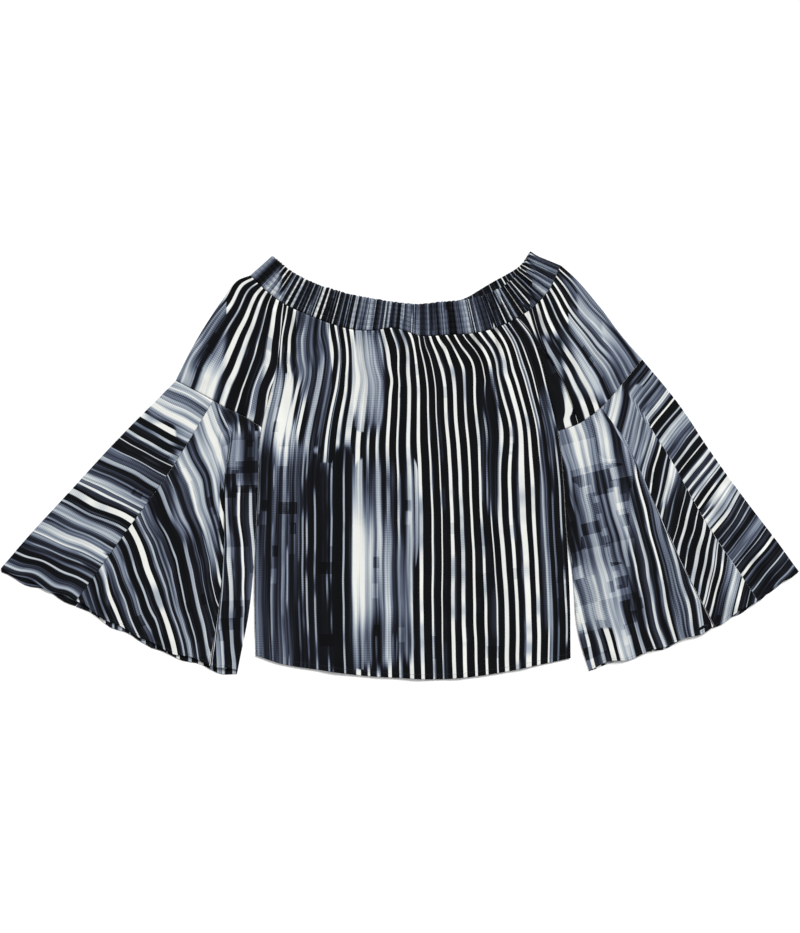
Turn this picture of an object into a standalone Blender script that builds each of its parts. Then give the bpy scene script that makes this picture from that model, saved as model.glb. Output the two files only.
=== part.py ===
"""An off-the-shoulder blouse with bell sleeves, laid flat on its back.

Blender 4.5, metres, +Z up. The cloth lies on z = 0, the neck points along +Y, and x runs across the
garment. Left and right are as seen from above. All tables are in millimetres of the laid-out garment.

Every panel is an open sheet of quads made thick with Solidify. The back panels lie flat at BACK_LEVEL, the
front panels lie on them at FRONT_LEVEL, and a sleeve or flounce wraps round its outer edge from one to
the other. Where a flounce folds over itself, the cloth doubles back and climbs by FOLD_STEP.
"""
import bpy
import numpy as np

MM = 0.001
# The tables' point that becomes the origin: the middle of the laid-out garment's outline
ORIGIN = (0.04, 1.015, 0.0)

# Levels of the cloth, as heights of its middle surface
WALL = 1.0
LAYER_GAP = 0.35
PITCH = WALL + LAYER_GAP
BACK_LEVEL = WALL / 2
FRONT_LEVEL = BACK_LEVEL + PITCH
FOLD_STEP = 2 * PITCH
SEAM_GAP = 0.4
BODY_CLEARANCE = 0.8
# Directions of the places on a half turn, in degrees above the level of its middle
TURN_ANGLES = (60, 30, 0, -30, -60)
# Share of the way to the next line at which the direction of an edge is read
EDGE_SHARE = 0.06

# Neckband: a shirred ring with raised ribs on its outside
RIBS = 58
RIB_HEIGHT = 0.9
RIB_EDGE_SHARE = 0.6
BAND_PUFF = 0.5
BAND_BACK_COLUMNS = 60
BACK_RISE = 16.0
BACK_RISE_X = 147.0
BACK_RISE_HALF_WIDTH = 72.0
BACK_RISE_FROM_Y = 90.0
BACK_RISE_FULL_Y = 195.0

BAND_TOP = ((-192, 315), (-170, 296), (-147, 282), (-88, 260), (-21, 247), (22, 242), (62, 245),
            (108, 250), (152, 267), (178, 289), (196, 319))
BAND_BOTTOM = ((-225, 286), (-200, 262), (-174, 243), (-137, 226), (-106, 214), (-75, 205), (-41, 203),
               (-12, 207), (32, 195), (67, 196), (127, 202), (176, 222), (197, 236), (220, 259), (241, 301))
BAND_LEFT_RAGLAN = 2
BAND_RIGHT_RAGLAN = 11
BAND_RIGHT_FOLD = 12

# Sides of the body: the raglan seam down to the underarm, then the side seam down to the hem
LEFT_SIDE = ((-174, 243), (-178, 204), (-184, 152), (-207, 58), (-213, -51), (-218, -171), (-216, -284))
RIGHT_SIDE = ((176, 222), (198, 196), (211, 160), (222, 112), (236, 52), (249, -93), (255, -201), (256, -288))
LEFT_UNDERARM = 3
RIGHT_UNDERARM = 4
BODY_HEM = ((-216, -284), (-180, -296), (-120, -306), (-60, -314), (0, -318), (45, -320), (90, -318),
            (150, -310), (210, -298), (256, -288))

# Upper sleeves
LEFT_SLEEVE_EDGE = ((-225, 286), (-243, 279), (-266, 249), (-296, 204), (-321, 159), (-336, 128))
RIGHT_SLEEVE_EDGE = ((241, 301), (260, 284), (300, 238), (335, 192), (363, 160))
RIGHT_SLEEVE_FOLD = ((197, 236), (207, 201), (222, 165), (242, 132), (255, 102), (267, 63))

# Flounces: lines that run from the seam down to the hem, listed from the outer edge to the inner edge
LEFT_OUTER_EDGE = ((-336, 128), (-424, 39), (-507, -51), (-562, -111), (-598, -154))
LEFT_MITRE = ((-280, 98), (-342, -3), (-410, -98), (-486, -204))
LEFT_MIDDLE = ((-261, 87), (-300, -28), (-342, -148), (-382, -261))
LEFT_FOLD = ((-243, 79), (-261, -6), (-264, -129), (-274, -231), (-286, -298))
LEFT_INNER_EDGE = ((-207, 58), (-213, -51), (-219, -148), (-226, -216), (-244, -308))
LEFT_FLOUNCE = (LEFT_OUTER_EDGE, LEFT_MITRE, LEFT_MIDDLE, LEFT_FOLD, LEFT_INNER_EDGE)

RIGHT_OUTER_EDGE = ((363, 160), (420, 90), (464, 24), (518, -51), (564, -111), (598, -156))
RIGHT_SECOND_FOLD = ((333, 123), (368, 69), (402, 16), (450, -70), (537, -201))
RIGHT_FIRST_FOLD = ((300, 86), (346, 21), (382, -57), (418, -135), (471, -240))
RIGHT_MIDDLE = ((267, 63), (292, -21), (330, -156), (375, -278))
RIGHT_INNER_EDGE = ((236, 52), (243, -14), (249, -93), (258, -156), (270, -261), (284, -304))
RIGHT_FLOUNCE = (RIGHT_OUTER_EDGE, RIGHT_SECOND_FOLD, RIGHT_FIRST_FOLD, RIGHT_MIDDLE, RIGHT_INNER_EDGE)

# Rows down the panels, as fractions of the length
RAGLAN_ROWS = (0, 0.08, 0.17, 0.27, 0.38, 0.5, 0.62, 0.74, 0.84, 0.92, 1)
BELOW_UNDERARM_ROWS = (0.08, 0.18, 0.3, 0.44, 0.58, 0.72, 0.86, 1)
FLOUNCE_ROWS = (0, 0.07, 0.15, 0.23, 0.34, 0.46, 0.58, 0.7, 0.82, 0.92, 1)
# Places across the panels
FRONT_COLUMNS = 61
BACK_COLUMNS = 49
SLEEVE_COLUMNS = 13
SLEEVE_VALLEY_COLUMNS = 4
SLEEVE_FRONT_COLUMNS = 11
SIDE_SAMPLES = 80

# Hidden cloth of each fold: how far it reaches back under the fold at the hem
LEFT_FOLD_REACH = 26.0
FIRST_FOLD_REACH = 26.0
SECOND_FOLD_REACH = 24.0
SLEEVE_FOLD_REACH = 9.0
FOLD_CLOSES_AT = 0.2
FOLD_LEAST_REACH = 3.0
FOLD_RAMP = 5.0
LANDING = 4.0
HIDDEN_SEAM_TUCK = 1.5
# The sleeve's fold is full from the first of these fractions to the second, counted back from the cuff
SLEEVE_FOLD_FULL = 0.36
SLEEVE_FOLD_EASES = 0.12
VALLEY_FOLLOWS = 0.8

# Soft folds that lift every front layer above them: start, end, half widths there and heights there
SOFT_FOLDS = (
    # x0, y0, x1, y1, half width 0, half width 1, height 0, height 1
    (-150, 236, -156, 141, 9, 14, 2.4, 0),
    (-117, 222, -123, 106, 9, 16, 2.4, 0),
    (-82, 211, -82, 99, 9, 14, 2.0, 0),
    (-51, 208, -45, 69, 9, 16, 2.4, 0),
    (-15, 211, -18, 150, 8, 14, 2.0, 0),
    (12, 206, 18, 69, 9, 16, 2.4, 0),
    (45, 199, 48, 116, 9, 14, 2.2, 0),
    (78, 202, 93, 99, 9, 16, 2.0, 0),
    (112, 206, 150, 112, 10, 16, 2.8, 0),
    (147, 216, 168, 39, 10, 20, 2.6, 0),
    (150, 110, 159, -141, 14, 24, 0, 0.6),
    (-105, -6, -98, -270, 26, 34, 0, 1.6),
    (3, -81, 3, -306, 24, 30, 0, 1.4),
    (78, -111, 78, -306, 22, 28, 0, 1.4),
    (168, -120, 180, -290, 22, 32, 0, 1.6),
    (-315, 95, -520, -140, 14, 44, 0, 3.0),
    (-270, 70, -440, -205, 12, 34, 0, 2.6),
    (-258, 60, -345, -255, 10, 26, 0, 2.4),
    (282, 52, 322, -276, 12, 34, 0, 2.6),
    (312, 70, 412, -240, 12, 26, 0, 2.0),
    (345, 99, 500, -205, 10, 24, 0, 1.6),
    (372, 99, 560, -160, 12, 30, 0, 2.4),
    (-262, 235, -300, 140, 14, 26, 1.2, 2.2),
    (285, 210, 318, 140, 14, 26, 1.4, 2.2),
)


def curve(points, at):
    """Places at the given fractions of a smooth line through the points: cubic pieces spaced by chord."""
    points = np.asarray(points, float)
    chord = np.linalg.norm(np.diff(points, axis=0), axis=1)
    knots = np.concatenate(([0.0], np.cumsum(chord))) / chord.sum()
    slopes = np.gradient(points, knots, axis=0)
    at = np.clip(np.asarray(at, float), 0, 1)
    i = np.clip(np.searchsorted(knots, at, side="right") - 1, 0, len(knots) - 2)
    span = (knots[i + 1] - knots[i])[..., None]
    t = (at[..., None] - knots[i][..., None]) / span
    return ((1 + 2 * t) * (1 - t) ** 2 * points[i] + t * (1 - t) ** 2 * span * slopes[i]
            + t * t * (3 - 2 * t) * points[i + 1] + t * t * (t - 1) * span * slopes[i + 1])


def knot(points, index):
    """The fraction of the whole line at which its numbered point lies."""
    chord = np.linalg.norm(np.diff(np.asarray(points, float), axis=0), axis=1)
    return chord[:index].sum() / chord.sum()


def part_of(points, first, last, fractions):
    """Places on the stretch of the smooth line between two of its points."""
    start, end = knot(points, first), knot(points, last)
    return curve(points, start + (end - start) * np.asarray(fractions, float))


def unit(vector):
    """The vector at length one."""
    return vector / np.linalg.norm(vector)


def smooth(value):
    """Zero up to 0, one from 1, with an even ease between."""
    value = np.clip(value, 0, 1)
    return value * value * (3 - 2 * value)


def lift(plan):
    """The height that the soft folds add at plan places: a rounded ridge along each row of SOFT_FOLDS."""
    plan = np.asarray(plan, float)
    total = np.zeros(plan.shape[:-1])
    for x0, y0, x1, y1, half0, half1, height0, height1 in SOFT_FOLDS:
        start = np.array((x0, y0))
        along = np.array((x1, y1)) - start
        length = np.linalg.norm(along)
        t = (plan - start) @ along / length ** 2
        side = plan - start - np.clip(t, 0, 1)[..., None] * along
        reach = np.linalg.norm(side, axis=-1) / (half0 + (half1 - half0) * np.clip(t, 0, 1))
        ridge = np.where(reach < 1, 0.5 + 0.5 * np.cos(np.pi * np.minimum(reach, 1)), 0)
        total = np.maximum(total, ridge * (height0 + (height1 - height0) * smooth(t)))
    return total


def risen(plan):
    """Back panels near the neck sit a little higher than the front ones, on the right of the middle."""
    plan = np.array(plan, float)
    near = np.clip(np.abs(plan[..., 0] - BACK_RISE_X) / BACK_RISE_HALF_WIDTH, 0, 1)
    down = smooth((plan[..., 1] - BACK_RISE_FROM_Y) / (BACK_RISE_FULL_Y - BACK_RISE_FROM_Y))
    plan[..., 1] += BACK_RISE * (0.5 + 0.5 * np.cos(np.pi * near)) * down
    return plan


def with_height(plan, level):
    """Plan places and their level in the stack, lifted with the soft folds in step with that level."""
    plan = np.asarray(plan, float)
    level = np.broadcast_to(level, plan.shape[:-1])
    share = np.clip((level - BACK_LEVEL) / PITCH, 0, 1)
    return np.concatenate((plan, (level + share * lift(plan))[..., None]), axis=-1)


def patch(top, bottom, left, right, weights):
    """Coons patch: rows down from the top line to the bottom line, columns from left to right."""
    u = np.linspace(0, 1, len(top))[None, :, None]
    v = np.asarray(weights, float)[:, None, None]
    blend = (1 - v) * top[None] + v * bottom[None] + (1 - u) * left[:, None] + u * right[:, None]
    corners = ((1 - u) * (1 - v) * top[0] + u * (1 - v) * top[-1]
               + (1 - u) * v * bottom[0] + u * v * bottom[-1])
    return blend - corners


def drawn_in(rows, length):
    """The same rows with the first and last moved in by half a seam gap."""
    rows = np.array(rows, float)
    rows[0] += SEAM_GAP / 2 / length
    rows[-1] -= SEAM_GAP / 2 / length
    return rows


def edge_turn(edge, outward):
    """The cloth's half turn from the front level round an outer edge down to the back level."""
    radius = (FRONT_LEVEL - BACK_LEVEL) / 2
    centre = edge - outward * (radius + WALL / 2)
    angles = np.radians(TURN_ANGLES)
    plan = centre + outward * radius * np.cos(angles)[:, None]
    return with_height(plan, BACK_LEVEL + radius * (1 + np.sin(angles)))


def fold(edge, along, step, reach):
    """One fold of ten places, climbing by step at the edge: an open ramp, or where reach is positive, cloth
    that runs on under the edge for reach, turns, comes back to the edge and turns again."""
    if reach <= 0:
        distance = np.linspace(-FOLD_RAMP / 2, FOLD_RAMP / 2, 10)
        height = np.linspace(0, step, 10)
    else:
        radius = step / 4
        angles = np.radians((-90, -45, 0, 45, 90))
        rise = radius * (1 + np.sin(angles))
        under = reach + radius * np.cos(angles)
        front = WALL / 2 + radius - radius * np.cos(angles)
        distance = np.concatenate((under, front))
        height = np.concatenate((rise, 2 * radius + rise))
    return with_height(edge + along * distance[:, None], FRONT_LEVEL + height)


def descend(plan, edge, step, start, end):
    """Cloth that leaves a fold at its full height, and eases down to the front level by its end."""
    gone = np.linalg.norm(np.asarray(plan) - edge, axis=-1)
    return with_height(plan, FRONT_LEVEL + step * (1 - smooth((gone - start) / max(end - start, 1))))


def fold_state(v, reach):
    """A flounce fold's step and reach: flat at the seam, a full step before it starts to lie over."""
    step = FOLD_STEP * smooth(v / FOLD_CLOSES_AT)
    if v <= FOLD_CLOSES_AT:
        return step, 0.0
    return step, FOLD_LEAST_REACH + (reach - FOLD_LEAST_REACH) * (v - FOLD_CLOSES_AT) / (1 - FOLD_CLOSES_AT)


def between(line, first, last, count):
    """Evenly spaced places on the smooth line strictly between two of its points."""
    return part_of(line, first, last, np.arange(1, count + 1) / (count + 1))


def material(name, red, green, blue, roughness):
    """A plain cloth material."""
    made = bpy.data.materials.new(name)
    made.use_nodes = True
    shader = made.node_tree.nodes["Principled BSDF"]
    shader.inputs["Base Color"].default_value = (red, green, blue, 1)
    shader.inputs["Roughness"].default_value = roughness
    shader.inputs["Metallic"].default_value = 0
    return made


def mesh_object(name, vertices, faces, finish):
    """A named object of the given millimetre vertices and faces, in the blouse's collection."""
    mesh = bpy.data.meshes.new(name)
    placed = (np.asarray(vertices) - ORIGIN) * MM
    mesh.from_pydata([tuple(v) for v in placed], [], faces)
    mesh.validate()
    mesh.update()
    mesh.materials.append(finish)
    mesh.shade_smooth()
    made = bpy.data.objects.new(name, mesh)
    blouse.objects.link(made)
    return made


def sheet(name, rows, finish):
    """A panel: a grid of places on the cloth's middle surface, made WALL thick."""
    grid = np.asarray(rows, float)
    down, across = grid.shape[:2]
    faces = []
    for j in range(down - 1):
        for i in range(across - 1):
            k = j * across + i
            faces.append((k, k + across, k + across + 1, k + 1))
    made = mesh_object(name, grid.reshape(-1, 3), faces, finish)
    solid = made.modifiers.new("Cloth", "SOLIDIFY")
    solid.thickness = WALL * MM
    solid.offset = 0
    solid.use_even_offset = True
    solid.use_quality_normals = True
    return made


def body_side(points, underarm):
    """One side of the body, sampled at the shared raglan rows and at the rows below the underarm."""
    raglan = part_of(points, 0, underarm, RAGLAN_ROWS)
    below = part_of(points, underarm, len(points) - 1, BELOW_UNDERARM_ROWS)
    return np.concatenate((raglan, below))


def build_body():
    """Front and back body panels, each gathered into the band at the top and curved at the hem."""
    left = body_side(LEFT_SIDE, LEFT_UNDERARM)
    right = body_side(RIGHT_SIDE, RIGHT_UNDERARM)
    left_length = np.concatenate(([0], np.cumsum(np.linalg.norm(np.diff(left, axis=0), axis=1))))
    weights = left_length / left_length[-1]
    for name, columns, back in (("front_body", FRONT_COLUMNS, False), ("back_body", BACK_COLUMNS, True)):
        across = np.linspace(0, 1, columns)
        top = part_of(BAND_BOTTOM, BAND_LEFT_RAGLAN, BAND_RIGHT_RAGLAN, across)
        grid = patch(top, curve(BODY_HEM, across), left, right, weights)
        inward = unit(right[0] - left[0]) * SEAM_GAP / 2
        grid[:, 0] += inward
        grid[:, -1] -= inward
        grid[0, :, 1] -= SEAM_GAP / 2
        plan = risen(grid) if back else grid
        sheet(name, with_height(plan, BACK_LEVEL if back else FRONT_LEVEL), navy_cloth)


def build_left_sleeve():
    """Left upper sleeve: from the front raglan seam round the outer edge to the back raglan seam."""
    across = np.linspace(0, 1, SLEEVE_COLUMNS)
    top = part_of(BAND_BOTTOM, 0, BAND_LEFT_RAGLAN, 1 - across)
    seam = curve([line[0] for line in reversed(LEFT_FLOUNCE)], across)
    raglan = part_of(LEFT_SIDE, 0, LEFT_UNDERARM, RAGLAN_ROWS)
    edge = curve(LEFT_SLEEVE_EDGE, RAGLAN_ROWS)
    front = patch(top, seam, raglan, edge, RAGLAN_ROWS)
    back = patch(top[::-1], seam[::-1], edge, raglan, RAGLAN_ROWS)
    rows = [wrapped_row(*layers) for layers in zip(seamed(front), seamed(back))]
    sheet("left_sleeve", rows, sleeve_cloth)


def seamed(grid):
    """Draws a sleeve layer in from the band above it and from the flounce below it by half a seam gap."""
    grid = np.array(grid, float)
    for row, beside in ((0, 1), (-1, -2)):
        way = grid[beside] - grid[row]
        grid[row] += way / np.linalg.norm(way, axis=1)[:, None] * SEAM_GAP / 2
    return grid


def wrapped_row(front, back):
    """One row of a sleeve that lies doubled: the front layer, the half turn at its edge, the back layer."""
    outward = unit(front[-1] - front[-2])
    inner = unit(front[1] - front[0]) * SEAM_GAP / 2
    front[0] += inner
    back[-1] += inner
    start = front[-1] - outward * (WALL + PITCH) / 2
    return np.concatenate((
        with_height(front[:-1], FRONT_LEVEL), with_height(start, FRONT_LEVEL)[None],
        edge_turn(front[-1], outward),
        with_height(start, BACK_LEVEL)[None], with_height(risen(back[1:]), BACK_LEVEL)))


def build_right_sleeve():
    """Right upper sleeve: like the left one, with a long fold that leans over toward the body."""
    raglan = part_of(RIGHT_SIDE, 0, RIGHT_UNDERARM, RAGLAN_ROWS)
    fold_line = curve(RIGHT_SLEEVE_FOLD, RAGLAN_ROWS)
    edge = curve(RIGHT_SLEEVE_EDGE, RAGLAN_ROWS)
    seam_line = [line[0] for line in reversed(RIGHT_FLOUNCE)]
    ends = np.linspace(0, 1, SLEEVE_FRONT_COLUMNS)
    top = part_of(BAND_BOTTOM, BAND_RIGHT_FOLD, len(BAND_BOTTOM) - 1, ends)
    seam = part_of(seam_line, 1, len(seam_line) - 1, ends)
    front = seamed(patch(top, seam, fold_line, edge, RAGLAN_ROWS))
    ends = np.linspace(0, 1, SLEEVE_VALLEY_COLUMNS)
    top = part_of(BAND_BOTTOM, BAND_RIGHT_RAGLAN, BAND_RIGHT_FOLD, ends)
    seam = part_of(seam_line, 0, 1, ends)
    valley = seamed(patch(top, seam, raglan, fold_line, RAGLAN_ROWS))
    follow = np.linspace(0, VALLEY_FOLLOWS, SLEEVE_VALLEY_COLUMNS - 1)[:, None]
    rows = []
    for j, v in enumerate(RAGLAN_ROWS):
        step = FOLD_STEP * smooth(v / SLEEVE_FOLD_FULL) * smooth((1 - v) / SLEEVE_FOLD_EASES)
        closed = SLEEVE_FOLD_FULL < v < 1 - SLEEVE_FOLD_EASES
        line_at = front[j, 0]
        along = unit(front[j, 1] - line_at)
        reach = SLEEVE_FOLD_REACH if closed else 0.0
        leaf = fold(line_at, along, step, reach)
        base = valley[j, :-1] + (leaf[0, :2] - line_at) * follow
        base[0] = valley[j, 0] + along * SEAM_GAP / 2
        away = front[j, 2:-1]
        width = np.linalg.norm(front[j, -1] - line_at)
        outward = unit(front[j, -1] - front[j, -2])
        start = front[j, -1] - outward * (WALL + PITCH) / 2
        behind = np.concatenate((front[j, 1:-1:2][::-1], valley[j, :-1][::-1]))
        behind[-1] += along * SEAM_GAP / 2
        rows.append(np.concatenate((
            with_height(base, FRONT_LEVEL), leaf,
            descend(away, line_at, step, reach + LANDING, width - LANDING),
            with_height(start, FRONT_LEVEL)[None], edge_turn(front[j, -1], outward),
            with_height(start, BACK_LEVEL)[None], with_height(risen(behind), BACK_LEVEL))))
    sheet("right_sleeve", rows, sleeve_cloth)


def flounce_lines(flounce, v):
    """The places at which one row of a flounce crosses its lines, from the outer edge to the inner edge."""
    across = np.array([curve(line, v) for line in flounce])
    side, underarm, way = RIGHT_SIDE, RIGHT_UNDERARM, 1
    if flounce is LEFT_FLOUNCE:
        side, underarm, way = LEFT_SIDE, LEFT_UNDERARM, -1
    run = part_of(side, underarm, len(side) - 1, np.linspace(0, 1, SIDE_SAMPLES))
    limit = np.interp(-across[-1, 1], -run[:, 1], run[:, 0]) + way * BODY_CLEARANCE
    across[-1, 0] = way * max(way * across[-1, 0], way * limit)
    return across


def edge_run(across, first, second):
    """Half turn round the first line, away from the second one, with the straight places at its ends."""
    edge = across[first]
    outward = unit(edge - part_of(across, first, second, EDGE_SHARE))
    start = edge - outward * (WALL + PITCH) / 2
    turn = edge_turn(edge, outward)
    return np.concatenate((with_height(start, FRONT_LEVEL)[None], turn, with_height(start, BACK_LEVEL)[None]))


def flounce_rows(flounce, row):
    """Builds a flounce piece from a function that gives the row at each fraction from seam to hem."""
    length = np.linalg.norm(np.subtract(flounce[0][0], flounce[0][-1]))
    return [row(v, flounce_lines(flounce, v)) for v in drawn_in(FLOUNCE_ROWS, length)]


def left_outer_row(v, across):
    """Front from the mitre seam to the outer edge, half turn, and the back to its own mitre seam."""
    gap = unit(across[0] - across[1]) * SEAM_GAP / 2
    front = between(across, 0, 1, 8)[::-1]
    return np.concatenate((with_height(across[1] + gap, FRONT_LEVEL)[None], with_height(front, FRONT_LEVEL),
                           edge_run(across, 0, 1), with_height(between(across, 0, 1, 3), BACK_LEVEL),
                           with_height(across[1] + gap, BACK_LEVEL)[None]))


def left_inner_row(v, across):
    """Front from the mitre seam, the fold whose upper strip runs to the inner edge, and the back."""
    step, reach = fold_state(v, LEFT_FOLD_REACH)
    gap = unit(across[2] - across[1]) * SEAM_GAP / 2
    along = unit(across[4] - across[3])
    leaf = fold(across[3], along, step, reach)
    width = np.linalg.norm(across[4] - across[3])
    strip = between(across, 3, 4, 6)
    strip = strip[np.linalg.norm(strip - across[3], axis=1) > LANDING]
    return np.concatenate((
        with_height(across[1] + gap, FRONT_LEVEL)[None], with_height(between(across, 1, 2, 5), FRONT_LEVEL),
        with_height(across[2], FRONT_LEVEL)[None], with_height(between(across, 2, 3, 4), FRONT_LEVEL), leaf,
        descend(strip, across[3], step, reach + LANDING, width - LANDING),
        edge_run(across, 4, 3), with_height(between(across, 1, 4, 7)[::-1], BACK_LEVEL),
        with_height(across[1] + gap, BACK_LEVEL)[None]))


def right_outer_row(v, across):
    """Back from the hidden seam to the outer edge, half turn, the outer lobe, and the middle lobe over it."""
    step, reach = fold_state(v, SECOND_FOLD_REACH)
    _, first_reach = fold_state(v, FIRST_FOLD_REACH)
    along = unit(across[2] - across[1])
    under = unit(across[3] - across[2])
    leaf = fold(across[1], along, step, reach)
    width = np.linalg.norm(across[2] - across[1])
    lobe = between(across, 1, 2, 6)
    tucked = fold_start(first_reach) - SEAM_GAP - np.array((HIDDEN_SEAM_TUCK, 0))
    hidden = across[2] + under * tucked[:, None]
    return np.concatenate((
        with_height(across[2] - along * SEAM_GAP / 2, BACK_LEVEL)[None],
        with_height(between(across, 0, 2, 6)[::-1], BACK_LEVEL), edge_run(across, 0, 1)[::-1],
        with_height(between(across, 0, 1, 6), FRONT_LEVEL), leaf,
        descend(lobe, across[1], step, reach + LANDING, width - LANDING),
        with_height(hidden, FRONT_LEVEL)))


def fold_start(reach):
    """How far past a fold's edge the cloth under it first turns: behind the edge where the fold is open."""
    return reach if reach > 0 else -FOLD_RAMP / 2


def right_inner_row(v, across):
    """From the hidden seam: the fold, the inner lobe that lies on top, the inner edge, and the back."""
    step, reach = fold_state(v, FIRST_FOLD_REACH)
    along = unit(across[3] - across[2])
    leaf = fold(across[2], along, step, reach)
    width = np.linalg.norm(across[4] - across[2])
    lobe = between(across, 2, 4, 10)
    lobe = lobe[np.linalg.norm(lobe - across[2], axis=1) > LANDING]
    gap = along * SEAM_GAP / 2
    return np.concatenate((
        leaf, descend(lobe, across[2], step, reach + LANDING, width - 3 * LANDING),
        edge_run(across, 4, 3), with_height(between(across, 2, 4, 6)[::-1], BACK_LEVEL),
        with_height(across[2] + gap, BACK_LEVEL)[None]))


def build_flounces():
    """The two bell flounces, each cut in an outer and an inner piece."""
    sheet("left_flounce_outer", flounce_rows(LEFT_FLOUNCE, left_outer_row), flounce_cloth)
    sheet("left_flounce_inner", flounce_rows(LEFT_FLOUNCE, left_inner_row), flounce_cloth)
    sheet("right_flounce_outer", flounce_rows(RIGHT_FLOUNCE, right_outer_row), flounce_cloth)
    sheet("right_flounce_inner", flounce_rows(RIGHT_FLOUNCE, right_inner_row), flounce_cloth)


def band_column(s, height):
    """Top, middle and bottom places of the band at a fraction of its length, at one level of the stack."""
    top, bottom = curve(BAND_TOP, s), curve(BAND_BOTTOM, s)
    way = unit(top - bottom)
    return np.array([np.append(p, height) for p in (top, (top + bottom) / 2, bottom + way * SEAM_GAP / 2)])


def band_turn(s, margin, way):
    """Outside and inside of the half turn at one end of the band: down at the right, or way -1, up at the
    left."""
    along = unit(curve(BAND_BOTTOM, s + way * margin / 2) - curve(BAND_BOTTOM, s - way * margin / 2))
    column = band_column(s, BACK_LEVEL + PITCH / 2)
    out = [np.append(along * np.cos(angle), np.sin(angle)) for angle in way * np.radians(TURN_ANGLES)]
    outside = [column + direction * (PITCH + WALL) / 2 for direction in out]
    inside = [column + direction * (PITCH - WALL) / 2 for direction in out]
    return outside, inside


def build_neckband():
    """The ring of the neckband: front, right turn, back and left turn, with ribs on the front's outside."""
    length = np.linalg.norm(np.diff(np.array(BAND_BOTTOM), axis=0), axis=1).sum()
    margin = (PITCH + WALL) / 2 / length
    half_wall = (0, 0, WALL / 2)
    outer, inner = [], []
    for i, s in enumerate(margin + (1 - 2 * margin) * np.linspace(0, 1, 2 * RIBS + 1)):
        column = band_column(s, FRONT_LEVEL)
        rib = RIB_HEIGHT * (i % 2)
        raised = np.zeros((3, 3))
        raised[:, 2] = (RIB_EDGE_SHARE * rib, rib + BAND_PUFF, RIB_EDGE_SHARE * rib)
        outer.append(column + raised + half_wall)
        inner.append(column - half_wall)
    outside, inside = band_turn(1 - margin, margin, 1)
    outer += outside
    inner += inside
    for s in 1 - margin - (1 - 2 * margin) * np.linspace(0, 1, BAND_BACK_COLUMNS):
        column = band_column(s, BACK_LEVEL)
        column[:, :2] = risen(column[:, :2])
        outer.append(column - half_wall)
        inner.append(column + half_wall)
    outside, inside = band_turn(margin, margin, -1)
    outer += outside
    inner += inside
    loops = np.concatenate((np.array(outer), np.array(inner)[:, ::-1]), axis=1)
    count, around = loops.shape[:2]
    faces = []
    for i in range(count):
        here, after = around * i, around * ((i + 1) % count)
        for k in range(around):
            beside = (k + 1) % around
            faces.append((here + k, here + beside, after + beside, after + k))
    mesh_object("neck_band", loops.reshape(-1, 3), faces, band_cloth)


for old in list(bpy.data.objects):
    bpy.data.objects.remove(old, do_unlink=True)
blouse = bpy.data.collections.new("blouse")
bpy.context.scene.collection.children.link(blouse)
navy_cloth = material("striped_crepe_body", 0.10, 0.11, 0.15, 0.8)
sleeve_cloth = material("striped_crepe_sleeve", 0.13, 0.14, 0.19, 0.8)
flounce_cloth = material("striped_crepe_flounce", 0.16, 0.17, 0.22, 0.8)
band_cloth = material("striped_crepe_band", 0.22, 0.24, 0.29, 0.82)
build_body()
build_left_sleeve()
build_right_sleeve()
build_flounces()
build_neckband()
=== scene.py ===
# %% [markdown]
# # A striped off-the-shoulder blouse, laid flat
#
# The blouse lies on its back on a pale floor, seen from straight above. Its real cloth is a light printed
# crepe, so nearly all that the eye gets is print, small gathers and soft folds.
# The rigid model gives each panel its place. This script lays a thinner and finer cloth on each panel,
# prints it, and adds the shirring, hems and stitches that a rigid model leaves out.

# %% Load the rigid model
import bpy
import numpy as np
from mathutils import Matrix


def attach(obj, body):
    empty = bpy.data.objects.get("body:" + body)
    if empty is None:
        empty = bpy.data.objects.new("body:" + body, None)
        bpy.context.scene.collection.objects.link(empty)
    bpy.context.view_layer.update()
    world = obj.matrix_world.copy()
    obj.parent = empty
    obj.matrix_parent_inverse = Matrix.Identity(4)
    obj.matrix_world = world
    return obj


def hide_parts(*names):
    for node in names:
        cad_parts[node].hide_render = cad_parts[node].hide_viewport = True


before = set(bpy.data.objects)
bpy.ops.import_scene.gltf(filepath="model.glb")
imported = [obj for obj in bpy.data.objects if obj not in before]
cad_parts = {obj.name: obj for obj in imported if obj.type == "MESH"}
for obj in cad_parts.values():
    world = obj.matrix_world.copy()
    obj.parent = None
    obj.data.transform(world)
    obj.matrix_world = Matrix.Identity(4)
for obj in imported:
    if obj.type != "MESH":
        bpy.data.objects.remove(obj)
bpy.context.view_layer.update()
MM = 0.001
ORIGIN = np.array((0.04, 1.015, 0.0))
rng = np.random.default_rng(11)
print("panels:", sorted(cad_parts))

# %% [markdown]
# ## Lines of the garment
#
# A pattern cutter describes a blouse by a few lines: seams, edges and folds. The same lines are used here,
# in millimetres of the laid-out garment, with the neck toward +Y. Left and right are as seen from above.
# A smooth line through a few points is enough for each, because cloth edges have no sharp bends.

# %% The levels of the cloth and the lines of the neckband and body
WALL = 1.0
PITCH = 1.35
BACK_LEVEL = WALL / 2
FRONT_LEVEL = BACK_LEVEL + PITCH
FOLD_STEP = 2 * PITCH
CLOTH_THICKNESS = 0.45
SEAM_GAP = 0.4
BODY_CLEARANCE = 0.8

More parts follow.
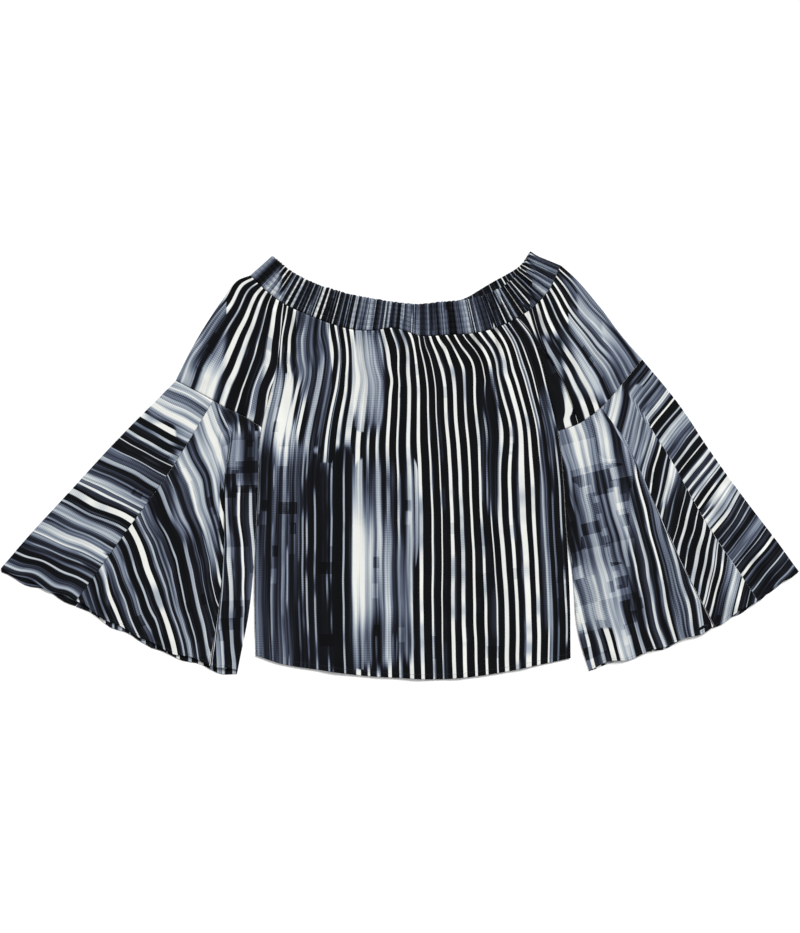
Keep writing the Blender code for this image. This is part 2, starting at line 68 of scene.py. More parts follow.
BAND_TOP = ((-192, 315), (-170, 296), (-147, 282), (-88, 260), (-21, 247), (22, 242), (62, 245),
            (108, 250), (152, 267), (178, 289), (196, 319))
BAND_BOTTOM = ((-225, 286), (-200, 262), (-174, 243), (-137, 226), (-106, 214), (-75, 205), (-41, 203),
               (-12, 207), (32, 195), (67, 196), (127, 202), (176, 222), (197, 236), (220, 259), (241, 301))
BAND_LEFT_RAGLAN, BAND_RIGHT_RAGLAN, BAND_RIGHT_FOLD = 2, 11, 12
LEFT_SIDE = ((-174, 243), (-178, 204), (-184, 152), (-207, 58), (-213, -51), (-218, -171), (-216, -284))
RIGHT_SIDE = ((176, 222), (198, 196), (211, 160), (222, 112), (236, 52), (249, -93), (255, -201), (256, -288))
LEFT_UNDERARM, RIGHT_UNDERARM = 3, 4
BODY_HEM = ((-216, -284), (-180, -296), (-120, -306), (-60, -314), (0, -318), (45, -320), (90, -318),
            (150, -310), (210, -298), (256, -288))

# %% The lines of the sleeves and flounces
LEFT_SLEEVE_EDGE = ((-225, 286), (-243, 279), (-266, 249), (-296, 204), (-321, 159), (-336, 128))
RIGHT_SLEEVE_EDGE = ((241, 301), (260, 284), (300, 238), (335, 192), (363, 160))
RIGHT_SLEEVE_FOLD = ((197, 236), (207, 201), (222, 165), (242, 132), (255, 102), (267, 63))
LEFT_FLOUNCE = (
    ((-336, 128), (-424, 39), (-507, -51), (-562, -111), (-598, -154)),
    ((-280, 98), (-342, -3), (-410, -98), (-486, -204)),
    ((-261, 87), (-300, -28), (-342, -148), (-382, -261)),
    ((-243, 79), (-261, -6), (-264, -129), (-274, -231), (-286, -298)),
    ((-207, 58), (-213, -51), (-219, -148), (-226, -216), (-244, -308)),
)
RIGHT_FLOUNCE = (
    ((363, 160), (420, 90), (464, 24), (518, -51), (564, -111), (598, -156)),
    ((333, 123), (368, 69), (402, 16), (450, -70), (537, -201)),
    ((300, 86), (346, 21), (382, -57), (418, -135), (471, -240)),
    ((267, 63), (292, -21), (330, -156), (375, -278)),
    ((236, 52), (243, -14), (249, -93), (258, -156), (270, -261), (284, -304)),
)

# %% [markdown]
# A smooth line is made of cubic pieces. Each piece leaves and enters its points along the line's own slope
# there, so the pieces join without a kink. The same rule works for one line and for many rows at once.


# %% Smooth lines
def slopes(points):
    """Slope of a line at each point, per millimetre: the two neighbouring chords, weighted by nearness."""
    points = np.asarray(points, float)
    step = np.diff(points, axis=0)
    length = np.linalg.norm(step, axis=-1, keepdims=True)
    rate = step / length
    inner = (rate[:-1] * length[1:] + rate[1:] * length[:-1]) / (length[:-1] + length[1:])
    return np.concatenate((rate[:1], inner, rate[-1:]))


def leg(points, index, fractions):
    """Places on one piece of a smooth line: both end points and both end slopes, blended by cubics."""
    points = np.asarray(points, float)
    slope = slopes(points)
    a, b = points[index][..., None, :], points[index + 1][..., None, :]
    size = np.linalg.norm(b - a, axis=-1, keepdims=True)
    t = np.asarray(fractions, float)[..., None]
    return ((1 + 2 * t) * (1 - t) ** 2 * a + t * (1 - t) ** 2 * size * slope[index][..., None, :]
            + t * t * (3 - 2 * t) * b + t * t * (t - 1) * size * slope[index + 1][..., None, :])


def curve(points, at):
    """Places at fractions of a whole smooth line, measured along its chords."""
    points = np.asarray(points, float)
    chord = np.linalg.norm(np.diff(points, axis=0), axis=1)
    knots = np.concatenate(([0.0], np.cumsum(chord))) / chord.sum()
    at = np.clip(np.asarray(at, float), 0, 1)
    piece = np.clip(np.searchsorted(knots, at, side="right") - 1, 0, len(knots) - 2)
    result = np.zeros(at.shape + (2,))
    for i in range(len(knots) - 1):
        chosen = piece == i
        result[chosen] = leg(points, i, (at[chosen] - knots[i]) / (knots[i + 1] - knots[i]))
    return result


def part_of(points, first, last, fractions):
    """Places on the stretch of a smooth line between two of its points."""
    chord = np.linalg.norm(np.diff(np.asarray(points, float), axis=0), axis=1)
    start, end = chord[:first].sum() / chord.sum(), chord[:last].sum() / chord.sum()
    return curve(points, start + (end - start) * np.asarray(fractions, float))


def smooth(value):
    """Zero up to 0, one from 1, with an even ease between."""
    value = np.clip(value, 0, 1)
    return value * value * (3 - 2 * value)


def unit(vectors):
    """Vectors at length one."""
    return vectors / np.linalg.norm(vectors, axis=-1, keepdims=True)


print("body hem, middle:", curve(BODY_HEM, [0.5]).round(1))

# %% [markdown]
# ## Soft folds and gathers
#
# Laid cloth is never flat. Long soft folds run down from the gathers, the flounces lie in waves that grow
# toward the hem, and under the band the cloth comes out of its seam in many small gathers. Each long fold
# is a row in a table: a rounded ridge along a line, with a width and a height at each end. The gathers are
# a sum of narrow ridges that start at the seam and die away, placed by a seeded random rule.

# %% The long soft folds
SOFT_FOLDS = np.array((
    # x0, y0, x1, y1, half width 0, half width 1, height 0, height 1
    (-150, 236, -160, 131, 9, 16, 4.0, 0.5),
    (-117, 222, -123, 96, 9, 17, 4.2, 0),
    (-82, 211, -82, 89, 9, 15, 3.4, 0),
    (-51, 208, -45, 59, 9, 17, 4.2, 0),
    (-15, 211, -18, 140, 8, 14, 3.4, 0),
    (12, 206, 18, 59, 9, 17, 4.4, 0),
    (45, 199, 48, 106, 9, 14, 3.8, 0),
    (78, 202, 93, 89, 9, 17, 3.6, 0),
    (112, 206, 150, 102, 10, 17, 5.4, 0),
    (147, 216, 170, 20, 10, 20, 4.6, 0),
    (150, 110, 160, -180, 13, 24, 1.4, 2.2),
    (-190, 120, -176, -280, 16, 30, 2.0, 1.2),
    (-105, -6, -98, -290, 24, 32, 0, 3.2),
    (-40, 60, -34, -290, 22, 30, 0, 2.6),
    (30, 20, 26, -300, 22, 30, 0, 2.8),
    (92, -41, 84, -306, 20, 26, 0, 2.8),
    (172, -80, 182, -290, 20, 30, 0, 3.2),
    (-315, 95, -520, -140, 14, 44, 0.6, 5.2),
    (-290, 88, -470, -180, 9, 24, 0, 3.0),
    (-270, 70, -440, -205, 12, 30, 1.0, 5.0),
    (-258, 60, -345, -255, 10, 26, 1.0, 4.6),
    (-236, 40, -246, -285, 8, 14, 0.5, 1.6),
    (282, 52, 322, -276, 12, 34, 0.6, 4.4),
    (312, 70, 412, -240, 12, 26, 0.6, 3.6),
    (345, 99, 500, -205, 10, 24, 0.6, 3.0),
    (372, 99, 560, -160, 12, 30, 0.6, 4.4),
    (-262, 235, -300, 140, 14, 26, 2.0, 3.4),
    (-215, 240, -232, 90, 10, 18, 2.6, 2.6),
    (-190, 232, -204, 110, 8, 12, 2.6, 1.2),
    (285, 210, 318, 140, 14, 26, 2.0, 3.4),
    (232, 240, 292, 110, 10, 18, 2.6, 2.6),
    (212, 228, 262, 110, 8, 14, 2.6, 1.4),
))


def ridges(plan):
    """Height of the long folds: for each row, a cosine hump across its line and an eased change along it."""
    total = np.zeros(plan.shape[:-1])
    for x0, y0, x1, y1, half0, half1, height0, height1 in SOFT_FOLDS:
        start, along = np.array((x0, y0)), np.array((x1 - x0, y1 - y0))
        t = np.clip((plan - start) @ along / (along @ along), 0, 1)
        side = plan - start - t[..., None] * along
        reach = np.linalg.norm(side, axis=-1) / (half0 + (half1 - half0) * t)
        hump = 0.5 + 0.5 * np.cos(np.pi * np.minimum(reach, 1))
        total = np.maximum(total, hump * (height0 + (height1 - height0) * smooth(t)))
    return total


print("highest long fold:", SOFT_FOLDS[:, 6:].max(), "mm")

# %% The gathers under the neckband
GATHER_SEAM = curve(BAND_BOTTOM, np.linspace(0.02, 0.98, 64))
GATHER_SEAM = GATHER_SEAM + rng.normal(0, 1.4, GATHER_SEAM.shape)
GATHER_LENGTH = rng.uniform(22, 78, len(GATHER_SEAM))
GATHER_HALF_WIDTH = rng.uniform(2.6, 4.6, len(GATHER_SEAM))
GATHER_HEIGHT = rng.uniform(1.6, 3.6, len(GATHER_SEAM))
GATHER_LEAN = rng.normal(0, 0.10, len(GATHER_SEAM)) + GATHER_SEAM[:, 0] / 1500


def gathers(plan):
    """Height of the gathers: narrow bell-shaped ridges that widen and die away below the band's seam."""
    total = np.zeros(plan.shape[:-1])
    rows = zip(GATHER_SEAM, GATHER_LENGTH, GATHER_HALF_WIDTH, GATHER_HEIGHT, GATHER_LEAN)
    for seam, length, half, height, lean in rows:
        down = seam[1] - plan[..., 1]
        fade = smooth(1 - down / length) * (down > -14)
        width = half * (1 + 0.9 * np.clip(down, 0, length) / length)
        across = (plan[..., 0] - seam[0] - lean * down) / width
        total = np.maximum(total, height * fade * np.exp(-across ** 2))
    return total


print("gathers:", len(GATHER_SEAM))

# %% [markdown]
# Between the folds the cloth has a faint unevenness of a few centimetres, from having been worn and packed.
# A handful of sine waves in different directions, with seeded phases, is enough for that.

# %% Fine unevenness, and the height of the front layers
CRINKLE_COUNT = 14
CRINKLE_HEIGHT = 0.012
LOOSENESS = 0.4
CRINKLE_WAVES = rng.uniform(0.035, 0.16, CRINKLE_COUNT)
CRINKLE_ANGLES = rng.uniform(0, np.pi, CRINKLE_COUNT)
CRINKLE_PHASES = rng.uniform(0, 2 * np.pi, CRINKLE_COUNT)


def crinkle(plan):
    """Sum of fourteen long sine waves in seeded directions, each weaker the shorter it is."""
    total = np.zeros(plan.shape[:-1])
    for wave, angle, phase in zip(CRINKLE_WAVES, CRINKLE_ANGLES, CRINKLE_PHASES):
        along = plan[..., 0] * np.cos(angle) + plan[..., 1] * np.sin(angle)
        total += np.sin(along * wave + phase) * CRINKLE_HEIGHT / wave
    return total


def at_level(plan, level):
    """Plan places with their level above the floor as the third number."""
    return np.concatenate((plan, np.broadcast_to(level, plan.shape[:-1])[..., None]), axis=-1)


def with_height(plan, level):
    """Plan places and their level in the stack. What lies above the back layer is lifted by the folds."""
    level = np.broadcast_to(level, plan.shape[:-1])
    share = np.clip((level - BACK_LEVEL) / PITCH, 0, 1)
    lift = ridges(plan) + gathers(plan) + crinkle(plan) + LOOSENESS
    return at_level(plan, level + share * np.maximum(lift, 0))


print("crinkle waves, mm long:", (2 * np.pi / CRINKLE_WAVES).round())


# %% [markdown]
# ## From grids to cloth
#
# Each panel is a grid: rows run down the garment and columns across it. The grid gives the middle of the
# cloth, and a Solidify modifier gives it thickness. A UV map in metres says where each point lies on the
# printed cloth, so that the stripes follow the cloth round every fold. Three smooth values at each point
# steer the print there: its level from dark to pale, its crispness, and how many bars cross it.


# %% Make a panel
def add_object(name, data):
    """An object at the origin for a mesh, a lamp or a camera, linked to the scene."""
    item = bpy.data.objects.new(name, data)
    bpy.context.scene.collection.objects.link(item)
    return item


def cloth(name, grid, print_place, moods, finish, replaced):
    """Puts a grid of places into a mesh, with its print coordinates and moods, and makes it a thin cloth."""
    down, across = grid.shape[:2]
    corner = (np.arange(down - 1)[:, None] * across + np.arange(across - 1)[None]).ravel()
    quads = np.stack((corner, corner + across, corner + across + 1, corner + 1), axis=1)
    mesh = bpy.data.meshes.new(name)
    mesh.from_pydata(((grid.reshape(-1, 3) - ORIGIN) * MM).tolist(), [], quads.tolist())
    uv = mesh.uv_layers.new(name="cloth")
    uv.data.foreach_set("uv", (print_place.reshape(-1, 2) * MM)[quads.ravel()].ravel().astype(np.float32))
    for mood, values in moods.items():
        attribute = mesh.attributes.new(mood, "FLOAT", "POINT")
        attribute.data.foreach_set("value", values.ravel().astype(np.float32))
    mesh.materials.append(finish)
    mesh.shade_smooth()
    piece = add_object(name, mesh)
    solid = piece.modifiers.new("Thickness", "SOLIDIFY")
    solid.thickness, solid.offset = CLOTH_THICKNESS * MM, 0
    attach(piece, "root")
    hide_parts(*replaced)
    return piece


def patch(top, bottom, left, right, weights):
    """Coons patch: the four edge lines blended, less the corners that were counted twice."""
    u = np.linspace(0, 1, len(top))[None, :, None]
    v = np.asarray(weights, float)[:, None, None]
    blend = (1 - v) * top[None] + v * bottom[None] + (1 - u) * left[:, None] + u * right[:, None]
    corners = ((1 - u) * (1 - v) * top[0] + u * (1 - v) * top[-1]
               + (1 - u) * v * bottom[0] + u * v * bottom[-1])
    return blend - corners


# %% [markdown]
# ## The print
#
# The cloth is printed with stretched stripes in black, navy, slate and off-white. They are crisp and evenly
# spaced in some places, and elsewhere they break off at uneven heights, blur into a pale bloom, or sink
# into near black with thin lines. The design here is a generic one of that kind: random stripes by a seeded
# rule, with only the broad light and dark places chosen. Five finishes share the rule, with other spacings.

# %% Colours of the print, from ink black to chalk, and a helper that adds a node
PRINT_COLOURS = ((0.0, "#0a0b0d"), (0.14, "#111216"), (0.27, "#262a35"), (0.40, "#4a5162"),
                 (0.54, "#727c8b"), (0.74, "#a9b1b8"), (0.97, "#dfe0db"))
THREAD_COLOUR = "#20232b"
PAPER_COLOUR = "#ffffff"


def linear(code):
    """An sRGB hex colour as linear light, by the standard curve."""
    parts = [int(code[i:i + 2], 16) / 255 for i in (1, 3, 5)]
    return [p / 12.92 if p <= 0.04045 else ((p + 0.055) / 1.055) ** 2.4 for p in parts] + [1]


CHOICE = {"Math": "operation", "VectorMath": "operation", "MapRange": "interpolation_type",
          "Mix": "data_type", "Attribute": "attribute_type",
          "TexNoise": "noise_dimensions", "TexWhiteNoise": "noise_dimensions"}


def add(tree, kind, *values, output=0, sockets=None, **settings):
    """Adds a node with its settings and links. kind is the node type and, after a dot, its main choice.
    values go to its inputs by position and sockets by name. None leaves an input as it is."""
    kind, _, choice = kind.partition(".")
    node = tree.nodes.new("ShaderNode" + kind)
    if choice:
        setattr(node, CHOICE[kind], choice)
    for key, value in settings.items():
        setattr(node, key, value)
    for key, value in list(enumerate(values)) + list((sockets or {}).items()):
        if isinstance(value, bpy.types.NodeSocket):
            tree.links.new(value, node.inputs[key])
        elif value is not None:
            node.inputs[key].default_value = value
    return node.outputs[output]


def start_finish(name, values):
    """A new finish, its node tree and its shader, with values set directly on the shader's sockets."""
    finish = bpy.data.materials.new(name)
    finish.use_nodes = True
    shader = finish.node_tree.nodes["Principled BSDF"]
    for socket, value in values.items():
        shader.inputs[socket].default_value = value
    return finish, finish.node_tree, shader


print("colours of the print:", [code for _, code in PRINT_COLOURS])


# %% [markdown]
# A stripe is a column of the cloth: the distance across is divided by the spacing, the whole part names the
# column and the fraction says where in the column a point lies. The column's name, fed to a noise, gives it
# its own width and tone. One side of a stripe is sharp and the other fades through slate, as in the real
# print. Where the print is soft, three layers of stretched noise take over: wide, middle and fine streaks.
# Both are mixed by two smooth values on the cloth, its level from dark to pale and its crispness.


# %% Crisp stripes
DRIFT_PER_MM = 0.023
DRIFT_STRIPES = 0.7
TONE_PER_MM = 0.012
COLUMN_STEP = 7.31
DRAWS_APART = (0.31, 0.77)
TURNED_SHARE = 0.4
WIDTH_SPREAD = 0.11
# Where each side of a stripe starts and ends its change, as shares of the spacing
SHARP_SIDE = (-0.04, 0.03)
CORE_SIDE = (0.06, -0.05)
FLANK_SIDE = (0.24, 0.0)
# From a range of the slow noise to a range of tones
PALE_TONES = (0.22, 0.5, 0.62, 0.97)
SLATE_TONES = (0.60, 0.36, 0.04, 0.42)
INK_TONE = 0.02


def crisp_stripes(tree, across, along, spacing, white, seed):
    """Tone of the crisp stripes, and two random numbers that belong to the column."""
    drift = add(tree, "Math.MULTIPLY", across, DRIFT_PER_MM)
    drift = add(tree, "TexNoise.1D", sockets={"W": drift, "Detail": 1.0})
    drift = add(tree, "Math.MULTIPLY_ADD", drift, DRIFT_STRIPES, seed)
    place = add(tree, "Math.MULTIPLY_ADD", across, 1 / spacing, drift)
    number = add(tree, "Math.FLOOR", place)
    offset = add(tree, "Math.SUBTRACT", add(tree, "Math.FRACT", place), 0.5)
    own, other = (add(tree, "TexWhiteNoise.1D", sockets={"W": add(tree, "Math.ADD", number, apart)})
                  for apart in DRAWS_APART)
    side = add(tree, "Math.MULTIPLY_ADD", add(tree, "Math.GREATER_THAN", other, TURNED_SHARE), 2.0, -1.0)
    turned = add(tree, "Math.MULTIPLY", offset, side)
    half = add(tree, "Math.MULTIPLY_ADD", own, WIDTH_SPREAD, (white - WIDTH_SPREAD) / 2)
    sharp = add(tree, "MapRange.SMOOTHSTEP", add(tree, "Math.ADD", turned, half), *SHARP_SIDE)
    beyond = add(tree, "Math.SUBTRACT", turned, half)
    core = add(tree, "Math.MULTIPLY", sharp, add(tree, "MapRange.SMOOTHSTEP", beyond, *CORE_SIDE))
    flank = add(tree, "Math.MULTIPLY", sharp, add(tree, "MapRange.SMOOTHSTEP", beyond, *FLANK_SIDE))
    where = add(tree, "CombineXYZ", add(tree, "Math.MULTIPLY_ADD", number, COLUMN_STEP, seed),
                add(tree, "Math.MULTIPLY", along, TONE_PER_MM))
    slow = add(tree, "TexNoise.2D", sockets={"Vector": where, "Scale": 1.0, "Detail": 2.0})
    pale = add(tree, "Math.MULTIPLY", core, add(tree, "MapRange.SMOOTHSTEP", slow, *PALE_TONES))
    slate = add(tree, "Math.MULTIPLY", flank, add(tree, "MapRange.SMOOTHSTEP", slow, *SLATE_TONES))
    return add(tree, "Math.ADD", add(tree, "Math.MAXIMUM", pale, slate), INK_TONE), own, other


print("sharp side and slate flank:", SHARP_SIDE, FLANK_SIDE)


# %% Soft streaks and thin lines
STREAKS = (
    # width mm, length mm, amount, detail
    (30, 380, 1.0, 0.0),
    (9.5, 330, 1.35, 1.0),
    (2.0, 300, 0.5, 2.0),
)
LINE_SPACING = 0.38
LINE_STEP = 3.7
LINE_DRAW_APART = 0.53
LINE_SIDE = (0.32, 0.16)
LINE_TONES = (0.30, 0.90, 0.0, 0.78)
LINE_BREAKS = (0.3, 0.6, 0.25, 1.0)
LINE_LEVELS = (0.55, 0.25)


def soft_streaks(tree, across, along, spacing, level, strength, seed):
    """Level plus wide, middle and fine streaks, with thin pale lines where the level is dark."""
    tone = level
    for wide, long, amount, detail in STREAKS:
        place = add(tree, "CombineXYZ", add(tree, "Math.MULTIPLY", across, 1 / wide),
                    add(tree, "Math.MULTIPLY_ADD", along, 1 / long, seed + wide))
        streak = add(tree, "TexNoise.2D", sockets={"Vector": place, "Scale": 1.0, "Detail": detail})
        streak = add(tree, "Math.SUBTRACT", streak, 0.5)
        tone = add(tree, "Math.MULTIPLY_ADD", streak, add(tree, "Math.MULTIPLY", strength, amount), tone)
    place = add(tree, "Math.MULTIPLY_ADD", across, 1 / (LINE_SPACING * spacing), seed)
    number = add(tree, "Math.FLOOR", place)
    middle = add(tree, "Math.ABSOLUTE", add(tree, "Math.SUBTRACT", add(tree, "Math.FRACT", place), 0.5))
    own = add(tree, "TexWhiteNoise.1D", sockets={"W": add(tree, "Math.ADD", number, LINE_DRAW_APART)})
    line = add(tree, "MapRange.SMOOTHSTEP", middle, *LINE_SIDE)
    where = add(tree, "CombineXYZ", add(tree, "Math.MULTIPLY", number, LINE_STEP),
                add(tree, "Math.MULTIPLY", along, TONE_PER_MM))
    slow = add(tree, "TexNoise.2D", sockets={"Vector": where, "Scale": 1.0, "Detail": 1.0})
    lit = add(tree, "MapRange.SMOOTHSTEP", own, *LINE_TONES)
    lit = add(tree, "Math.MULTIPLY", lit, add(tree, "MapRange.SMOOTHSTEP", slow, *LINE_BREAKS))
    lit = add(tree, "Math.MULTIPLY", lit, add(tree, "MapRange.SMOOTHSTEP", level, *LINE_LEVELS))
    return add(tree, "Math.MAXIMUM", tone, add(tree, "Math.MULTIPLY", line, lit))


print("streaks, mm wide:", [row[0] for row in STREAKS])


# %% [markdown]
# Over the stripes lie two small things: patches of fine check, as if the picture had been enlarged until its
# dots showed, and short bars that cross the stripes a shade lighter or darker.


# %% Check patches and cross bars
CHECK_MM = (2.0, 2.6)
PATCH_PER_MM = (0.016, 0.008)
CHECK_STRENGTH = (0.50, 0.58, 0.0, 0.06)
CROSS_BARS = (
    # width mm, length mm, share drawn everywhere, added share where bars are wanted, change of tone
    (9.5, 17.0, 0.012, 0.06, -0.14),
    (9.5, 22.0, 0.02, 0.06, 0.09),
    (31.0, 18.0, 0.0, 0.34, -0.17),
    (75.0, 40.0, 0.0, 0.5, 0.09),
    (16.5, 120.0, 0.0, 0.7, 0.13),
)


def check_and_bars(tree, tone, across, along, bars, seed):
    """Adds a fine check in seeded patches of middle tone, and bars of another shade where they are wanted."""
    check = add(tree, "Math.ADD", *(
        add(tree, "Math.SINE", add(tree, "Math.MULTIPLY", way, 2 * np.pi / size))
        for way, size in zip((across, along), CHECK_MM)))
    place = add(tree, "CombineXYZ", add(tree, "Math.MULTIPLY", across, PATCH_PER_MM[0]),
                add(tree, "Math.MULTIPLY_ADD", along, PATCH_PER_MM[1], seed))
    patches = add(tree, "TexNoise.2D", sockets={"Vector": place, "Scale": 1.0, "Detail": 1.0})
    middle = add(tree, "Math.MULTIPLY", add(tree, "MapRange.SMOOTHSTEP", tone, 0.2, 0.4),
                 add(tree, "MapRange.SMOOTHSTEP", tone, 0.95, 0.8))
    where = add(tree, "Math.MULTIPLY", add(tree, "MapRange.SMOOTHSTEP", patches, *CHECK_STRENGTH), middle)
    tone = add(tree, "Math.MULTIPLY_ADD", check, where, tone)
    for wide, high, everywhere, added, shade in CROSS_BARS:
        column = add(tree, "Math.FLOOR", add(tree, "Math.MULTIPLY_ADD", across, 1 / wide, shade))
        row = add(tree, "Math.FLOOR", add(tree, "Math.MULTIPLY", along, 1 / high))
        draw = add(tree, "TexWhiteNoise.2D", add(tree, "CombineXYZ", column, row))
        drawn = add(tree, "Math.LESS_THAN", draw, add(tree, "Math.MULTIPLY_ADD", bars, added, everywhere))
        tone = add(tree, "Math.MULTIPLY_ADD", drawn, shade, tone)
    return tone


print("kinds of cross bar:", len(CROSS_BARS))


# %% [markdown]
# Polyester crepe is woven from tightly twisted threads. To the eye that gives a dry, matt cloth with a faint
# light edge where it turns away. Its threads are about a quarter of a millimetre apart. The weave is drawn
# at 0.6 mm, coarser than it is, so that it shows at all.


# %% A printed crepe finish
CREPE_VALUES = {"Roughness": 0.8, "Specular IOR Level": 0.06, "Sheen Weight": 0.02, "Sheen Roughness": 0.45}
WANDER_PER_MM = 0.011
COLUMN_LEVELS = (0.5, 0.75)
STREAKS_IN_DARK = (0.0, 0.4, 0.12, 1.0)
STREAKS_IN_PALE = (0.6, 0.95, 1.0, 0.55)
STREAKS_UNDER_BARS = -0.6
CHANGE_SPREAD = 0.45
ABRUPT_SHARE = 0.65
SLOW_CHANGE, ABRUPT_CHANGE = 0.30, 0.03
THREADS_PER_MM, SLUBS_PER_MM = 1.6, 0.16


def striped_print(tree, across, along, spacing, white, seed):
    """Tone of the print: soft streaks and crisp stripes, mixed column by column by the cloth's moods."""
    crisp, own, other = crisp_stripes(tree, across, along, spacing, white, seed)
    level, wanted, bars = (add(tree, "Attribute.GEOMETRY", output=2, attribute_name=mood)
                           for mood in ("level", "crisp", "bars"))
    level = add(tree, "Math.MULTIPLY", add(tree, "Math.MULTIPLY_ADD", own, *COLUMN_LEVELS), level)
    strength = add(tree, "Math.MULTIPLY", add(tree, "MapRange.SMOOTHSTEP", level, *STREAKS_IN_DARK),
                   add(tree, "MapRange.SMOOTHSTEP", level, *STREAKS_IN_PALE))
    strength = add(tree, "Math.MULTIPLY", strength,
                   add(tree, "Math.MULTIPLY_ADD", bars, STREAKS_UNDER_BARS, 1.0))
    soft = soft_streaks(tree, across, along, spacing, level, strength, seed)
    shifted = add(tree, "Math.MULTIPLY_ADD", add(tree, "Math.SUBTRACT", other, 0.5), CHANGE_SPREAD, wanted)
    reach = add(tree, "Math.MULTIPLY_ADD", add(tree, "Math.GREATER_THAN", own, ABRUPT_SHARE),
                ABRUPT_CHANGE - SLOW_CHANGE, SLOW_CHANGE)
    share = add(tree, "MapRange.SMOOTHSTEP", shifted, add(tree, "Math.SUBTRACT", 0.5, reach),
                add(tree, "Math.ADD", reach, 0.5))
    tone = add(tree, "Mix.FLOAT", share, None, soft, crisp)
    return check_and_bars(tree, tone, across, along, bars, seed)


def printed_crepe(name, spacing, white, sway, seed):
    """Woven polyester crepe with the striped print: tone to colour by a ramp, and two bumps for the weave."""
    finish, tree, shader = start_finish(name, CREPE_VALUES)
    place = add(tree, "VectorMath.SCALE", add(tree, "UVMap", uv_map="cloth"), sockets={"Scale": 1 / MM})
    wander = add(tree, "TexNoise.2D", sockets={"Vector": place, "Scale": WANDER_PER_MM, "Detail": 1.0})
    across, along = (add(tree, "SeparateXYZ", place, output=way) for way in (0, 1))
    across = add(tree, "Math.MULTIPLY_ADD", add(tree, "Math.SUBTRACT", wander, 0.5), 2 * sway, across)
    ramp = add(tree, "ValToRGB", striped_print(tree, across, along, spacing, white, seed)).node
    for i, (position, code) in enumerate(PRINT_COLOURS):
        stop = ramp.color_ramp.elements[i] if i < 2 else ramp.color_ramp.elements.new(position)
        stop.position, stop.color = position, linear(code)
    tree.links.new(ramp.outputs[0], shader.inputs["Base Color"])
    weave = add(tree, "TexNoise.3D", sockets={"Vector": place, "Scale": THREADS_PER_MM, "Detail": 2.0})
    slub = add(tree, "TexNoise.3D", sockets={"Vector": place, "Scale": SLUBS_PER_MM, "Detail": 3.0})
    bumps = add(tree, "Bump", sockets={"Height": weave, "Strength": 0.2, "Distance": 0.0002})
    bumps = add(tree, "Bump", sockets={"Height": slub, "Strength": 0.3, "Distance": 0.0008, "Normal": bumps})
    tree.links.new(bumps, shader.inputs["Normal"])
    return finish


# spacing of the stripes in mm, share of it that is pale, sway in mm, seed
body_crepe = printed_crepe("printed_crepe_body", 15.8, 0.33, 1.6, 3.0)
back_crepe = printed_crepe("printed_crepe_back", 15.8, 0.40, 1.6, 14.0)
sleeve_crepe = printed_crepe("printed_crepe_sleeve", 14.5, 0.29, 7.5, 27.0)
flounce_crepe = printed_crepe("printed_crepe_flounce", 16.5, 0.27, 6.5, 41.0)
band_crepe = printed_crepe("printed_crepe_band", 12.5, 0.24, 1.0, 58.0)
print("finishes:", [m.name for m in bpy.data.materials if m.name.startswith("printed")])

# %% [markdown]
# The moods of the print are laid out roughly, in boxes with soft sides: how pale the soft parts are, where
# the stripes are crisp, and where bars cross them. One function turns a table of boxes into values.
# In two places a lower level is painted shade: the valley beside the right sleeve's fold and the back of the
# band.


# %% Where the moods of the print lie, as seen from above
def moods_at(plan, base, boxes):
    """Values of level, crispness and bars: a base, drawn toward each box's value inside its soft sides."""
    moods = {name: np.full(plan.shape[:-1], value) for name, value in zip(("level", "crisp", "bars"), base)}
    x, y = plan[..., 0], plan[..., 1]
    for x0, x1, y0, y1, soft_x, soft_y, *values in boxes:
        across = smooth((x - x0) / soft_x + 0.5) * smooth((x1 - x) / soft_x + 0.5)
        share = across * smooth((y - y0) / soft_y + 0.5) * smooth((y1 - y) / soft_y + 0.5)
        for name, value in zip(moods, values):
            moods[name] += (value - moods[name]) * share
    return moods


BODY_MOODS = (
    # x0, x1, y0, y1, softness across and along, level, crispness, bars
    (-260, -140, -360, 36, 26, 50, 0.27, 0.26, 0.12),
    (-250, -158, 30, 150, 18, 80, 0.92, 0.0, 0.0),
    (-162, -110, 110, 260, 30, 80, 0.26, 0.1, 0.0),
    (-140, -100, 20, 170, 20, 60, 0.30, 0.6, 0.0),
    (-150, -72, -360, 10, 22, 50, 0.10, 0.36, 0.08),
    (-98, -72, -360, 30, 8, 40, 0.0, 0.0, 0.0),
    (-70, -24, 60, 200, 22, 70, 0.80, 0.1, 0.1),
    (-70, 30, -150, 20, 24, 90, 0.45, 0.55, 0.0),
    (-70, 18, -270, -90, 24, 90, 0.70, 0.26, 0.0),
    (-70, 20, -300, -235, 24, 60, 0.42, 0.25, 0.1),
    (120, 148, -80, 130, 14, 90, 0.16, 0.3, 0.1),
    (116, 154, -290, -150, 26, 110, 0.46, 0.55, 0.05),
    (228, 262, -360, 60, 10, 50, 0.03, 0.0, 0.0),
    (208, 230, -260, 120, 8, 60, 0.40, 0.4, 0.0),
)
BODY_BASE = (0.4, 1.0, 0.0)


# %% [markdown]
# ## Body
#
# Two panels, each gathered into the band at the top. The stripes run down the panel, so the print is laid
# by the panel's own columns. Where the gathers pull the cloth, the stripes sway to one side by up to a
# centimetre, which a few wide pulls and many small ones do.

